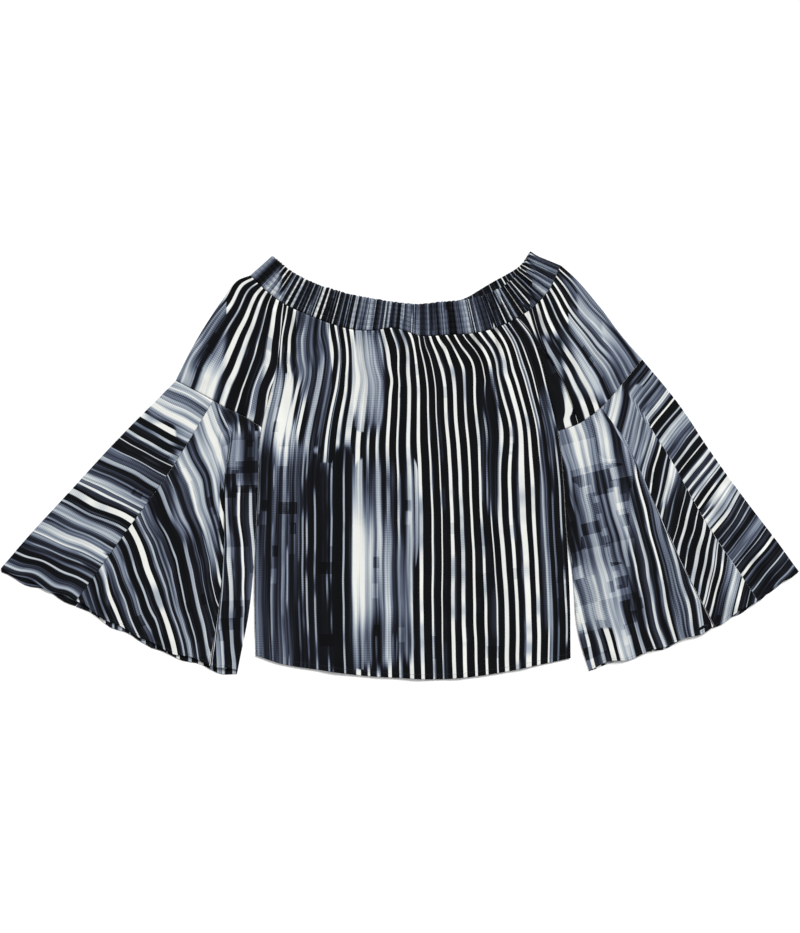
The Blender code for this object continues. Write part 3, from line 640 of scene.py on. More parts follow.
# %% How the gathers pull the stripes sideways
PULLS = np.array((
    # x, y, pull to the right, half width across, half length along
    (-160, 185, 10, 36, 50),
    (-95, 165, -8, 26, 46),
    (-45, 175, 6, 26, 34),
    (12, 185, -5, 26, 30),
    (48, 178, 6, 26, 26),
    (118, 150, -8, 38, 30),
    (160, 60, -9, 34, 46),
    (176, 170, 6, 26, 40),
    (-150, -40, 4, 40, 120),
    (60, -60, -3, 40, 140),
    (150, -60, 5, 36, 90),
))
SMALL_PULLS = 26
PULLS = np.concatenate((PULLS, np.stack((
    np.linspace(-168, 170, SMALL_PULLS) + rng.normal(0, 4, SMALL_PULLS),
    rng.uniform(120, 200, SMALL_PULLS), rng.normal(0, 2.4, SMALL_PULLS),
    rng.uniform(9, 15, SMALL_PULLS), rng.uniform(10, 26, SMALL_PULLS)), axis=1)))
RISE_X, RISE_HALF_WIDTH, RISE_HEIGHT = 147, 72, 16
RISE_Y, RISE_LENGTH = 90, 105


def pulled(plan):
    """Sideways shift of the print: the sum of the pulls, each a bell across times a bell along."""
    total = np.zeros(plan.shape[:-1])
    for x, y, pull, half, long in PULLS:
        bell = np.exp(-((plan[..., 0] - x) / half) ** 2)
        total += pull * bell * np.exp(-((plan[..., 1] - y) / long) ** 2)
    return total


def risen(plan):
    """The back panels sit up to 16 mm higher near the neck, right of the middle, as the photo shows."""
    near = np.clip(np.abs(plan[..., 0] - RISE_X) / RISE_HALF_WIDTH, 0, 1)
    hump = 0.5 + 0.5 * np.cos(np.pi * near)
    rise = RISE_HEIGHT * hump * smooth((plan[..., 1] - RISE_Y) / RISE_LENGTH)
    return plan + rise[..., None] * np.array((0, 1))


print("pulls of the print:", len(PULLS))


# %% [markdown]
# ## Hems
#
# A hem is the cloth turned up and sewn. It adds a layer, which shows as a low step, and a line of stitches.
# Rows of the grid lie close together there, so that the step stays sharp. The wide flounces also let their
# hems rise and fall a little.


# %% Rows, the extra layer and the waves of a hem
HEM_START, HEM_GAP = 0.968, 0.003
HEM_ROWS = 12
HEM_HEIGHT, HEM_SLOPE_LENGTH = 0.4, 1.5
WAVES_START = 0.84
WAVE_LIFT = 0.8
# Share of each wave, its length in mm over one radian, and its phase
HEM_WAVES = ((0.6, 9.5, 0), (0.4, 15.1, 1))


def hem_rows(count):
    """Row places from 0 to 1 that are close together at the end, where the hem is sewn."""
    return np.concatenate((np.linspace(0, HEM_START, count), np.linspace(HEM_START + HEM_GAP, 1, HEM_ROWS)))


def hem_layer(rows, length, width):
    """Extra height of the cloth turned up at a hem, over its width from the edge."""
    return (HEM_HEIGHT * smooth((width - (1 - rows) * length) / HEM_SLOPE_LENGTH))[:, None]


def hem_waves(grid, rows, amount, back_drop):
    """Lets a free hem rise and fall by two sine waves along its own length, faded in above the edge."""
    steps = np.linalg.norm(np.diff(grid[-1, :, :2], axis=0), axis=-1)
    gone = np.concatenate(([0], np.cumsum(steps)))
    wave = sum(share * np.sin(gone / length + phase) for share, length, phase in HEM_WAVES)
    fade = smooth((rows - WAVES_START) / (1 - WAVES_START))[:, None]
    front_share = np.clip((grid[..., 2] - BACK_LEVEL) / PITCH, 0, 1)
    grid[..., 1] += (amount * wave[None] - back_drop * (1 - front_share)) * fade
    grid[..., 2] += (0.5 + wave[None]) * fade * front_share * WAVE_LIFT


print("rows of a hem:", hem_rows(2)[1:].round(4))


# %% Front and back body
def body_plan(columns, rows):
    """Grid of the body panel: sides sampled by their length, and a Coons patch between the four edges."""
    down, across = hem_rows(rows), np.linspace(0, 1, columns)
    left, right = curve(LEFT_SIDE, down), curve(RIGHT_SIDE, down)
    top = part_of(BAND_BOTTOM, BAND_LEFT_RAGLAN, BAND_RIGHT_RAGLAN, across)
    plan = patch(top, curve(BODY_HEM, across), left, right, down)
    inward = unit(right - left) * SEAM_GAP / 2
    plan[:, 0] += inward
    plan[:, -1] -= inward
    plan[0, :, 1] -= SEAM_GAP / 2
    return plan


def body_print(plan):
    """Print coordinates: across by the column at hem width plus the pulls, and along by the height."""
    across = np.linspace(BODY_HEM[0][0], BODY_HEM[-1][0], plan.shape[1])[None] + pulled(plan)
    return np.stack((across, plan[..., 1]), axis=-1)


BODY_LENGTH = 545.0
BODY_HEM_WIDTH = 8.5
FRONT_COLUMNS, FRONT_ROWS = 221, 150
BACK_COLUMNS, BACK_ROWS = 121, 60
plan = body_plan(FRONT_COLUMNS, FRONT_ROWS)
front_grid = with_height(plan, FRONT_LEVEL)
front_grid[..., 2] += hem_layer(hem_rows(FRONT_ROWS), BODY_LENGTH, BODY_HEM_WIDTH)
front_body = cloth("front_body_cloth", front_grid, body_print(plan),
                   moods_at(plan, BODY_BASE, BODY_MOODS), body_crepe, ["front_body"])
back_plan = risen(body_plan(BACK_COLUMNS, BACK_ROWS))
back_body = cloth("back_body_cloth", at_level(back_plan, BACK_LEVEL), body_print(back_plan),
                  moods_at(back_plan * (-1, 1), BODY_BASE, BODY_MOODS), back_crepe, ["back_body"])
print("front body faces:", len(front_body.data.polygons))

# %% [markdown]
# ## Walls that lie doubled
#
# A sleeve laid flat is a tube pressed flat: a front layer, a half turn at the outer edge, and a back layer.
# A flounce does the same, and its spare width doubles over once or twice in long folds. In a row across
# such a piece, the cloth runs on under the fold's edge, turns, comes back to the edge, turns again and goes
# on one step higher. Near the seam above, the fold opens into a slope and dies away.


# %% Half turns and folds, for all rows at once
LANDING = 4.0
FOLD_RAMP = 5.0
FOLD_BEGINS = 0.2
LEAST_REACH = 3.0
WIDE_REACH, NARROW_REACH = 26.0, 24.0
TURN = np.radians(np.linspace(90, -90, 11))
HAIRPIN = np.radians(np.linspace(-90, 90, 9))
BETWEEN_HAIRPINS = np.linspace(0.1, 0.9, 6)


def half_turn(edge, outward):
    """Half circle round an outer edge, from the front level to the back level."""
    radius = PITCH / 2
    centre = (edge - outward * (radius + CLOTH_THICKNESS / 2))[:, None]
    plan = centre + outward[:, None] * radius * np.cos(TURN)[None, :, None]
    return with_height(plan, BACK_LEVEL + radius * (1 + np.sin(TURN)))


def fold(edge, along, step, reach):
    """A fold at an edge: a slope where reach is zero, or under the edge, back to it and on above."""
    radius = step[:, None] / 4
    under = reach[:, None] + radius * np.cos(HAIRPIN)
    front = CLOTH_THICKNESS / 2 + radius - radius * np.cos(HAIRPIN)
    back_way = under[:, -1:] + (front[:, :1] - under[:, -1:]) * BETWEEN_HAIRPINS
    rise = radius * (1 + np.sin(HAIRPIN))
    shut_distance = np.concatenate((under, back_way, front), axis=1)
    flat = np.repeat(2 * radius, len(BETWEEN_HAIRPINS), axis=1)
    shut_height = np.concatenate((rise, flat, 2 * radius + rise), axis=1)
    even = np.linspace(0, 1, shut_distance.shape[1])[None]
    shut = smooth(reach / LEAST_REACH)[:, None]
    distance = (even - 0.5) * FOLD_RAMP * (1 - shut) + shut_distance * shut
    height = even * step[:, None] * (1 - shut) + shut_height * shut
    return with_height(edge[:, None] + along[:, None] * distance[..., None], FRONT_LEVEL + height)


def descend(plan, edge, step, start, end):
    """Cloth beyond a fold: from its full height down to the front level between two distances."""
    gone = np.linalg.norm(plan - edge[:, None], axis=-1)
    share = smooth((gone - start[:, None]) / np.maximum(end - start, 1)[:, None])
    return with_height(plan, FRONT_LEVEL + step[:, None] * (1 - share))


def fold_state(down, reach):
    """Step and reach of a flounce's fold down its length: the step comes first, then the reach grows."""
    grown = np.clip((down - FOLD_BEGINS) / (1 - FOLD_BEGINS), 0, 1) * (reach - LEAST_REACH)
    return FOLD_STEP * smooth(down / FOLD_BEGINS), grown + LEAST_REACH * (down > FOLD_BEGINS)


print("a fold's step at the hem:", FOLD_STEP, "mm")

# %% [markdown]
# ## Upper sleeves
#
# Each is a raglan sleeve with its stripes running down the arm, gathered into the band. The right one leans
# over toward the body in one long fold, which leaves a valley beside the raglan seam. The valley is dark from
# real shade and from painted shade: its print level there is near black.


# %% Left sleeve
SLEEVE_ROWS = 64
LEFT_SLEEVE_COLUMNS = 72
BACK_STRIDE = 4


def layer(top, bottom, left, right, rows):
    """A sleeve layer, drawn in from the band and the flounce by half a seam gap."""
    plan = patch(top, bottom, left, right, rows)
    plan[0] += unit(plan[1] - plan[0]) * SEAM_GAP / 2
    plan[-1] += unit(plan[-2] - plan[-1]) * SEAM_GAP / 2
    return plan


def flat_back(plan):
    """The layer that lies on the floor, moved toward the neck where the back has risen."""
    return at_level(risen(plan), BACK_LEVEL)


def straight_start(edge, outward):
    """The last place of the front layer before the half turn at an edge."""
    return edge - outward * (PITCH / 2 + CLOTH_THICKNESS / 2)


rows = np.linspace(0, 1, SLEEVE_ROWS)
across = np.linspace(0, 1, LEFT_SLEEVE_COLUMNS)
left_seam = [line[0] for line in reversed(LEFT_FLOUNCE)]
front = layer(part_of(BAND_BOTTOM, 0, BAND_LEFT_RAGLAN, 1 - across), curve(left_seam, across),
              part_of(LEFT_SIDE, 0, LEFT_UNDERARM, rows), curve(LEFT_SLEEVE_EDGE, rows), rows)
outward = unit(front[:, -1] - front[:, -2])
edge = front[:, -1].copy()
front[:, 0] += unit(front[:, 1] - front[:, 0]) * SEAM_GAP / 2
front[:, -1] = straight_start(edge, outward)
left_sleeve_parts = [with_height(front, FRONT_LEVEL), half_turn(edge, outward),
                     flat_back(front[:, ::-BACK_STRIDE])]
left_sleeve_grid = np.concatenate(left_sleeve_parts, axis=1)
print("left sleeve grid:", left_sleeve_grid.shape)


# %% Print on a sleeve, and the left sleeve's piece
SLEEVE_LENGTH = 160.0
LEFT_SLEEVE_ENDS = (100, 103, 200)


def sleeve_print(parts, ends):
    """Stripes down the sleeve: the columns of each part lie evenly between the end before and its own."""
    starts = (0.0,) + ends[:-1]
    across = np.concatenate([start + (end - start) * np.arange(1, part.shape[1] + 1) / part.shape[1]
                             for part, start, end in zip(parts, starts, ends)])
    across, along = np.meshgrid(across, -np.linspace(0, SLEEVE_LENGTH, SLEEVE_ROWS))
    return np.stack((across, along), axis=-1)


SLEEVE_BASE = (0.35, 0.95, 0.0)
LEFT_SLEEVE_MOODS = (
    (-350, -262, 90, 290, 34, 60, 0.34, 0.12, 0.0),
    (-330, -300, 160, 250, 20, 60, 0.55, 0.1, 0.0),
    (-330, -280, 90, 150, 30, 40, 0.75, 0.2, 0.0),
    (-236, -200, 60, 190, 20, 60, 0.06, 0.42, 0.0),
)
left_sleeve = cloth("left_sleeve_cloth", left_sleeve_grid, sleeve_print(left_sleeve_parts, LEFT_SLEEVE_ENDS),
                    moods_at(left_sleeve_grid[..., :2], SLEEVE_BASE, LEFT_SLEEVE_MOODS),
                    sleeve_crepe, ["left_sleeve"])
print("left sleeve faces:", len(left_sleeve.data.polygons))

# %% Right sleeve, with its fold
RIGHT_SLEEVE_REACH = 9.0
RIGHT_SLEEVE_COLUMNS, VALLEY_STRIDE = 60, 6
# Fractions of the sleeve's length: where a change starts, and how far it takes
STEP_FULL, STEP_ENDS = 0.36, 0.12
REACH_START, REACH_GROWS, REACH_END, REACH_ENDS = 0.33, 0.12, 0.94, 0.08
VALLEY_FOLLOWS = 0.85
UNDER_LEAF_COLUMNS = 4
RIGHT_SLEEVE_ENDS = (22, 40, 140, 143, 260)
right_seam = [line[0] for line in reversed(RIGHT_FLOUNCE)]
raglan = part_of(RIGHT_SIDE, 0, RIGHT_UNDERARM, rows)
fold_line = curve(RIGHT_SLEEVE_FOLD, rows)
across = np.linspace(0, 1, RIGHT_SLEEVE_COLUMNS)
front = layer(part_of(BAND_BOTTOM, BAND_RIGHT_FOLD, len(BAND_BOTTOM) - 1, across),
              part_of(right_seam, 1, len(right_seam) - 1, across), fold_line,
              curve(RIGHT_SLEEVE_EDGE, rows), rows)
few = across[::VALLEY_STRIDE]
valley = layer(part_of(BAND_BOTTOM, BAND_RIGHT_RAGLAN, BAND_RIGHT_FOLD, few),
               part_of(right_seam, 0, 1, few), raglan, fold_line, rows)
along = unit(front[:, 1] - front[:, 0])
step = FOLD_STEP * smooth(rows / STEP_FULL) * smooth((1 - rows) / STEP_ENDS)
reach = (RIGHT_SLEEVE_REACH * smooth((rows - REACH_START) / REACH_GROWS)
         * smooth((REACH_END - rows) / REACH_ENDS))
leaf = fold(front[:, 0], along, step, reach)
follow = np.linspace(0, VALLEY_FOLLOWS, valley.shape[1] - 1)[:, None]
base = valley[:, :-1] + (leaf[:, :1, :2] - front[:, :1]) * follow
base[:, 0] = valley[:, 0] + along * SEAM_GAP / 2
width = np.linalg.norm(front[:, -1] - front[:, 0], axis=1)
outward = unit(front[:, -1] - front[:, -2])
edge = front[:, -1].copy()
start = straight_start(edge, outward)
behind = np.concatenate((start[:, None], front[:, -2:0:-BACK_STRIDE], valley[:, ::-2]), axis=1)
beyond = descend(front[:, UNDER_LEAF_COLUMNS:-1], front[:, 0], step, reach + LANDING, width - LANDING)
right_sleeve_parts = [
    with_height(base, FRONT_LEVEL), leaf,
    np.concatenate((beyond, with_height(start[:, None], FRONT_LEVEL)), axis=1),
    half_turn(edge, outward), flat_back(behind)]
right_sleeve_grid = np.concatenate(right_sleeve_parts, axis=1)
RIGHT_SLEEVE_MOODS_AND_PAINTED_SHADE = (
    (248, 400, 90, 330, 44, 60, 0.58, 0.42, 0.0),
    (315, 400, 120, 230, 30, 60, 0.42, 0.2, 0.0),
    # painted shade: the print is drawn near black in the valley between the raglan seam and the fold
    (196, 246, 50, 200, 16, 40, 0.04, 0.25, 0.0),
)
right_sleeve = cloth("right_sleeve_cloth", right_sleeve_grid,
                     sleeve_print(right_sleeve_parts, RIGHT_SLEEVE_ENDS),
                     moods_at(right_sleeve_grid[..., :2], SLEEVE_BASE, RIGHT_SLEEVE_MOODS_AND_PAINTED_SHADE),
                     sleeve_crepe, ["right_sleeve"])
print("right sleeve grid:", right_sleeve_grid.shape)

# %% [markdown]
# ## Bell flounces
#
# A bell flounce is cut in the round, so its straight stripes meet the seams at a slant, and its hem is far
# longer than its top. Each is made of two pieces. Each row of a piece is strung together from short
# stretches: flat cloth between two lines, a fold, the cloth that comes down from it, and the half turn.


# %% The lines of a flounce at every row, and stretches between them
FLOUNCE_ROWS = hem_rows(112)
TOP_START = 0.0007
BACK_COLUMNS_PER_LEG = 9


def flounce_lines(flounce):
    """The five lines at every row. The inner edge keeps clear of the body's side seam."""
    down = np.maximum(FLOUNCE_ROWS, TOP_START)
    lines = np.array([curve(line, down) for line in flounce])
    side, underarm, way = ((LEFT_SIDE, LEFT_UNDERARM, -1) if flounce is LEFT_FLOUNCE
                           else (RIGHT_SIDE, RIGHT_UNDERARM, 1))
    run = part_of(side, underarm, len(side) - 1, np.linspace(0, 1, 200))
    limit = np.interp(-lines[-1, :, 1], -run[:, 1], run[:, 0]) + way * BODY_CLEARANCE
    lines[-1, :, 0] = way * np.maximum(way * lines[-1, :, 0], way * limit)
    return lines


def stretch(lines, index, count, start=0.0, end=1.0):
    """Places strictly between one line and the next, along the smooth curve through all five."""
    return leg(lines, index, start + (end - start) * np.arange(1, count + 1) / (count + 1))


def back_run(lines, *indexes):
    """The back layer: the stretches that start at these lines, each run through from its far end."""
    runs = [stretch(lines, index, BACK_COLUMNS_PER_LEG)[:, ::-1] for index in indexes]
    return with_height(np.concatenate(runs, axis=1), BACK_LEVEL)


def past_fold(lines, fold_index, last, end, count):
    """Places from just past a fold to a fraction of its next stretch, and the way to the last line."""
    width = np.linalg.norm(lines[last] - lines[fold_index], axis=1)
    landing = (LANDING / width)[:, None]
    return leg(lines, fold_index, landing + (end - landing) * np.linspace(0, 1, count)[None]), width


def edge_turn(lines, edge, inside):
    """The half turn at an outer or inner edge, which points away from the line inside it."""
    return half_turn(lines[edge], unit(lines[edge] - lines[inside]))


def place(plan, level=FRONT_LEVEL):
    """One column of places at a level."""
    return with_height(plan[:, None], level)


left_lines = flounce_lines(LEFT_FLOUNCE)
right_lines = flounce_lines(RIGHT_FLOUNCE)
print("left flounce hem corners:", left_lines[0, -1].round(), left_lines[-1, -1].round())

# %% Left flounce, outer piece
OUTER, MITRE, MIDDLE, FOLD, INNER = range(5)
gap = unit(left_lines[OUTER] - left_lines[MITRE]) * SEAM_GAP / 2
left_outer_parts = [
    place(left_lines[MITRE] + gap), with_height(stretch(left_lines, OUTER, 52, 0.02)[:, ::-1], FRONT_LEVEL),
    edge_turn(left_lines, OUTER, MITRE), with_height(stretch(left_lines, OUTER, 12, 0.02), BACK_LEVEL),
    place(left_lines[MITRE] + gap, BACK_LEVEL)]
left_outer_grid = np.concatenate(left_outer_parts, axis=1)
print("left outer piece:", left_outer_grid.shape)

# %% Left flounce, inner piece
step, reach = fold_state(FLOUNCE_ROWS, WIDE_REACH)
along = unit(left_lines[INNER] - left_lines[FOLD])
strip, width = past_fold(left_lines, FOLD, INNER, 0.96, 22)
gap = unit(left_lines[MIDDLE] - left_lines[MITRE]) * SEAM_GAP / 2
left_inner_parts = [
    place(left_lines[MITRE] + gap), with_height(stretch(left_lines, MITRE, 34), FRONT_LEVEL),
    place(left_lines[MIDDLE]), with_height(stretch(left_lines, MIDDLE, 26, 0, 0.97), FRONT_LEVEL),
    fold(left_lines[FOLD], along, step, reach),
    descend(strip, left_lines[FOLD], step, reach + LANDING, width - LANDING),
    edge_turn(left_lines, INNER, FOLD), back_run(left_lines, FOLD, MIDDLE, MITRE),
    place(left_lines[MITRE] + gap, BACK_LEVEL)]
left_inner_grid = np.concatenate(left_inner_parts, axis=1)
print("left flounce grids:", left_outer_grid.shape, left_inner_grid.shape)

# %% Right flounce, outer piece: the outer lobe and the middle lobe over it
OUTER, SECOND, FIRST, MIDDLE, INNER = range(5)
TUCKED_UNDER = np.array((-1.5, -0.4))
step, reach = fold_state(FLOUNCE_ROWS, NARROW_REACH)
_, first_reach = fold_state(FLOUNCE_ROWS, WIDE_REACH)
along = unit(right_lines[FIRST] - right_lines[SECOND])
under = unit(right_lines[MIDDLE] - right_lines[FIRST])
lobe, width = past_fold(right_lines, SECOND, FIRST, 0.99, 34)
hidden = np.where(first_reach > 0, first_reach, -FOLD_RAMP / 2)[:, None] + TUCKED_UNDER
right_outer_parts = [
    place(right_lines[FIRST] - along * SEAM_GAP / 2, BACK_LEVEL), back_run(right_lines, SECOND, OUTER),
    edge_turn(right_lines, OUTER, SECOND)[:, ::-1],
    with_height(stretch(right_lines, OUTER, 36, 0.02, 0.97), FRONT_LEVEL),
    fold(right_lines[SECOND], along, step, reach),
    descend(lobe, right_lines[SECOND], step, reach + LANDING, width - LANDING),
    with_height(right_lines[FIRST][:, None] + under[:, None] * hidden[..., None], FRONT_LEVEL)]
right_outer_grid = np.concatenate(right_outer_parts, axis=1)
print("right outer piece:", right_outer_grid.shape)

# %% Right flounce, inner piece: the lobe that lies on top
step, reach = fold_state(FLOUNCE_ROWS, WIDE_REACH)
first_part, width = past_fold(right_lines, FIRST, INNER, 1, 34)
second_part = stretch(right_lines, MIDDLE, 30, 0, 0.98)
right_inner_parts = [
    fold(right_lines[FIRST], under, step, reach),
    descend(np.concatenate((first_part, second_part), axis=1), right_lines[FIRST], step, reach + LANDING,
            width - 3 * LANDING),
    edge_turn(right_lines, INNER, MIDDLE), back_run(right_lines, MIDDLE, FIRST),
    place(right_lines[FIRST] + under * SEAM_GAP / 2, BACK_LEVEL)]
right_inner_grid = np.concatenate(right_inner_parts, axis=1)
print("right flounce grids:", right_outer_grid.shape, right_inner_grid.shape)


# %% [markdown]
# The print lies straight on each flounce piece, so its stripes keep one direction until the cloth folds. A
# lobe beyond a fold shows them turned. Each column of the grid is given its own stripe direction, which
# changes mostly within a fold's hidden cloth.


# %% Print directions on the flounces
LEFT_BOW = -0.0006
RIGHT_OUTER_CLOSER = 1.3


def turned_print(plan, pivot, degrees, bow=0.0):
    """Across and along the stripes: places about a pivot, turned by each column's stripe direction."""
    angle = np.radians(np.asarray(degrees, float))
    offset = plan - np.asarray(pivot, float)
    along = offset[..., 0] * np.cos(angle) + offset[..., 1] * np.sin(angle)
    across = offset[..., 0] * np.sin(angle) - offset[..., 1] * np.cos(angle)
    return np.stack((across + bow * along ** 2, along), axis=-1)


def spread(parts, directions):
    """One stripe direction per column: a number for each part of the row, or a pair to change between."""
    return np.concatenate([np.linspace(*(d if isinstance(d, tuple) else (d, d)), part.shape[1])
                           for part, d in zip(parts, directions)])


left_outer_print = turned_print(left_outer_grid[..., :2], LEFT_FLOUNCE[0][0], -27, LEFT_BOW)
left_inner_print = turned_print(left_inner_grid[..., :2], LEFT_FLOUNCE[3][0], spread(
    left_inner_parts, (-67, -67, -67, (-67, -72), (-72, -86), -88, -88, -88, -88)))
right_outer_print = turned_print(right_outer_grid[..., :2], RIGHT_FLOUNCE[1][0], spread(
    right_outer_parts, (-100, -126, -126, -126, (-126, -102), -102, -98)))
right_outer_print[..., 0] *= RIGHT_OUTER_CLOSER
right_inner_print = turned_print(right_inner_grid[..., :2], RIGHT_FLOUNCE[2][0], spread(
    right_inner_parts, ((-98, -80), (-78, -76), -76, -80, -80)))
print("left outer print, mm across:", np.ptp(left_outer_print[..., 0]).round())

# %% The four flounce pieces
FLOUNCE_BASE = (0.38, 0.50, 0.0)
FLOUNCE_MOODS = (
    (-400, -270, 50, 140, 60, 50, 0.42, 0.30, 0.0),
    (-640, -430, -220, -60, 80, 60, 0.34, 0.34, 0.0),
    (-335, -262, -150, 50, 26, 80, 0.66, 0.0, 0.0),
    (-270, -205, -330, 70, 16, 40, 0.46, 0.62, 0.08),
    (-268, -205, -30, 50, 16, 30, 0.24, 0.2, 0.4),
    (-420, -290, -330, -100, 60, 60, 0.28, 0.50, 0.0),
    (-270, -225, 60, 90, 20, 20, 0.10, 0.4, 0.0),
    (230, 345, -260, 70, 30, 50, 0.42, 0.24, 0.36),
    (225, 262, -190, -40, 24, 40, 0.14, 0.1, 0.2),
    (240, 345, -240, -150, 30, 40, 0.54, 0.20, 0.6),
    (262, 400, -330, -245, 30, 40, 0.56, 0.42, 0.25),
    (300, 365, 20, 110, 30, 40, 0.45, 0.05, 0.0),
    (350, 480, -330, -20, 30, 60, 0.36, 0.62, 0.0),
    (375, 500, -40, 130, 30, 60, 0.60, 0.50, 0.0),
)
FLOUNCE_LENGTH = 385.0
FLOUNCE_HEM_WIDTH = 5.0
HEM_WAVE_HEIGHT = 3.4
BACK_DROP = {"left": 6.0, "right": 1.0}
flounces = []
for side, part, grid, printed in (("left", "outer", left_outer_grid, left_outer_print),
                                  ("left", "inner", left_inner_grid, left_inner_print),
                                  ("right", "outer", right_outer_grid, right_outer_print),
                                  ("right", "inner", right_inner_grid, right_inner_print)):
    moods = moods_at(grid[..., :2], FLOUNCE_BASE, FLOUNCE_MOODS)
    hem_waves(grid, FLOUNCE_ROWS, HEM_WAVE_HEIGHT, BACK_DROP[side])
    grid[..., 2] += hem_layer(FLOUNCE_ROWS, FLOUNCE_LENGTH, FLOUNCE_HEM_WIDTH) * (grid[..., 2] > FRONT_LEVEL)
    piece = cloth(f"{side}_flounce_{part}_cloth", grid, printed, moods,
                  flounce_crepe, [f"{side}_flounce_{part}"])
    flounces.append(piece)
print("flounce pieces:", [piece.name for piece in flounces])

# %% [markdown]
# ## Neckband
#
# The band is a ring of cloth drawn up by five rows of elastic thread. Between two rows the cloth puffs into
# small ribs, and each row pinches them. Its height is therefore ribs along the band times puffs across it.

# %% Ribs and puffs of the band
RIBS = 88
ELASTIC_ROWS = 5
BAND_ROWS = 36
BAND_CUT_LENGTH = 1400.0
BAND_WIDTH = 45.0
RIB_ROUNDNESS, PUFF_ROUNDNESS = 0.55, 0.7
PUFF_LOW = 0.40
rib_place = np.sort(np.linspace(0, 1, RIBS) + rng.normal(0, 0.0036, RIBS))
rib_height = rng.uniform(1.4, 4.0, RIBS)


def rib(s, phase):
    """Height along the band: rounded ribs of uneven spacing and height, pinched to a line between two."""
    number = np.interp(s, rib_place, np.arange(RIBS)) + phase
    crest = np.abs(np.sin(np.pi * number)) ** RIB_ROUNDNESS
    return crest * np.interp(s, rib_place, rib_height)


def puff(w):
    """Height across the band: low at the elastic rows and at both edges, full between."""
    return PUFF_LOW + (1 - PUFF_LOW) * np.abs(np.sin(np.pi * w * (ELASTIC_ROWS + 1))) ** PUFF_ROUNDNESS


print("ribs:", RIBS, "up to", rib_height.max().round(2), "mm")

# %% [markdown]
# The ribs have to cross the band squarely, also where it bends. So each place of the bottom edge is joined
# to the nearest place of the top edge, and those partners are evened out a little.

# %% Which place of the top edge belongs to each place of the bottom edge
TOP_SAMPLES = 400
SMOOTHING = (0.1, 0.2, 0.4, 0.2, 0.1)
SQUARE_FROM = np.linspace(0, 1, 21)
apart = curve(BAND_BOTTOM, SQUARE_FROM)[:, None] - curve(BAND_TOP, np.linspace(0, 1, TOP_SAMPLES))
SQUARE_TO = np.linalg.norm(apart, axis=-1).argmin(axis=1) / (TOP_SAMPLES - 1)
SQUARE_TO = np.convolve(np.pad(SQUARE_TO, 2, mode="edge"), SMOOTHING, mode="valid")
SQUARE_TO[[0, -1]] = 0, 1


def band_places(s, w):
    """Plan places at fractions along the band and across it, from its bottom edge to its top edge."""
    top, bottom = curve(BAND_TOP, np.interp(s, SQUARE_FROM, SQUARE_TO)), curve(BAND_BOTTOM, s)
    bottom = bottom + unit(top - bottom) * SEAM_GAP / 2
    return bottom + (top - bottom) * w[:, None, None]


print("partners on the top edge:", SQUARE_TO.round(2))

# %% Front and back of the band
BAND_END = 0.0022
BAND_SUNK = 0.2
CREST_OUT = 0.5
BACK_RIB_SHARE = 0.8
# How far the ribs sway, in ribs, and how fast across the band
FRONT_SWAY, BACK_SWAY = (0.06, 9), (0.05, 7)
across_band = np.linspace(0, 1, BAND_ROWS)
front_s = np.linspace(BAND_END, 1 - BAND_END, RIBS * 10)
back_s = front_s[::-2]
front = band_places(front_s, across_band)
crests = rib(front_s[None], FRONT_SWAY[0] * np.sin(FRONT_SWAY[1] * across_band)[:, None])
front += unit(front[-1:] - front[:1]) * crests[-1:, :, None] * (CREST_OUT * across_band ** 5)[:, None, None]
ribs = crests * puff(across_band)[:, None]
front_band = at_level(front, FRONT_LEVEL - BAND_SUNK + ribs)
lower = band_places(back_s, across_band)
back = risen(lower)
shown = np.clip((back - lower)[..., 1] / RISE_HEIGHT, 0, 1) * across_band[:, None] ** 2
sway = BACK_SWAY[0] * np.sin(BACK_SWAY[1] * across_band)
ribs = rib(back_s[None], 0.5 + sway[:, None]) * puff(across_band)[:, None]
back = at_level(back, BACK_LEVEL + ribs * shown * BACK_RIB_SHARE)
print("band front and back:", front_band.shape, back.shape)


# %% Close the ring at its two ends
def band_turn(s, way, angles):
    """Half circle at an end of the band, from one layer to the other, outward along the band."""
    here = band_places(np.array([s]), across_band)[:, 0]
    inside = band_places(np.array([s - way * 0.01]), across_band)[:, 0]
    outward = unit(here - inside)[:, None]
    radius = PITCH / 2
    turn = np.radians(angles)
    plan = here[:, None] + outward * radius * np.cos(turn)[None, :, None]
    return at_level(plan, BACK_LEVEL + radius * (1 + np.sin(turn)))


ends = np.linspace(70, -70, 7)
ring = np.concatenate((front_band, band_turn(1 - BAND_END, 1, ends), back,
                       band_turn(BAND_END, -1, ends[::-1]), front_band[:, :1]), axis=1)
steps = np.linalg.norm(np.diff(ring[0, :, :2], axis=0), axis=1)
along_ring = np.concatenate(([0], np.cumsum(steps))) / steps.sum() * BAND_CUT_LENGTH
band_print = np.stack(np.broadcast_arrays(along_ring[None], (across_band * BAND_WIDTH)[:, None]), axis=-1)
BAND_MOODS = (
    (-240, -178, 230, 330, 16, 40, 0.46, 0.05, 0.0),
    (-150, -60, 190, 300, 30, 40, 0.16, 0.55, 0.0),
    (-60, 10, 170, 300, 30, 40, 0.30, 0.35, 0.0),
    (10, 140, 170, 300, 30, 40, 0.30, 0.12, 0.0),
    (196, 250, 220, 330, 24, 40, 0.35, 0.1, 0.0),
)
BAND_BASE = (0.22, 0.66, 0.0)
# Share of the print level kept on the back of the band: painted shade under the front band's edge
BACK_BAND_PAINTED_SHADE = 0.5
band_moods_with_painted_shade = moods_at(ring[::-1, :, :2], BAND_BASE, BAND_MOODS)
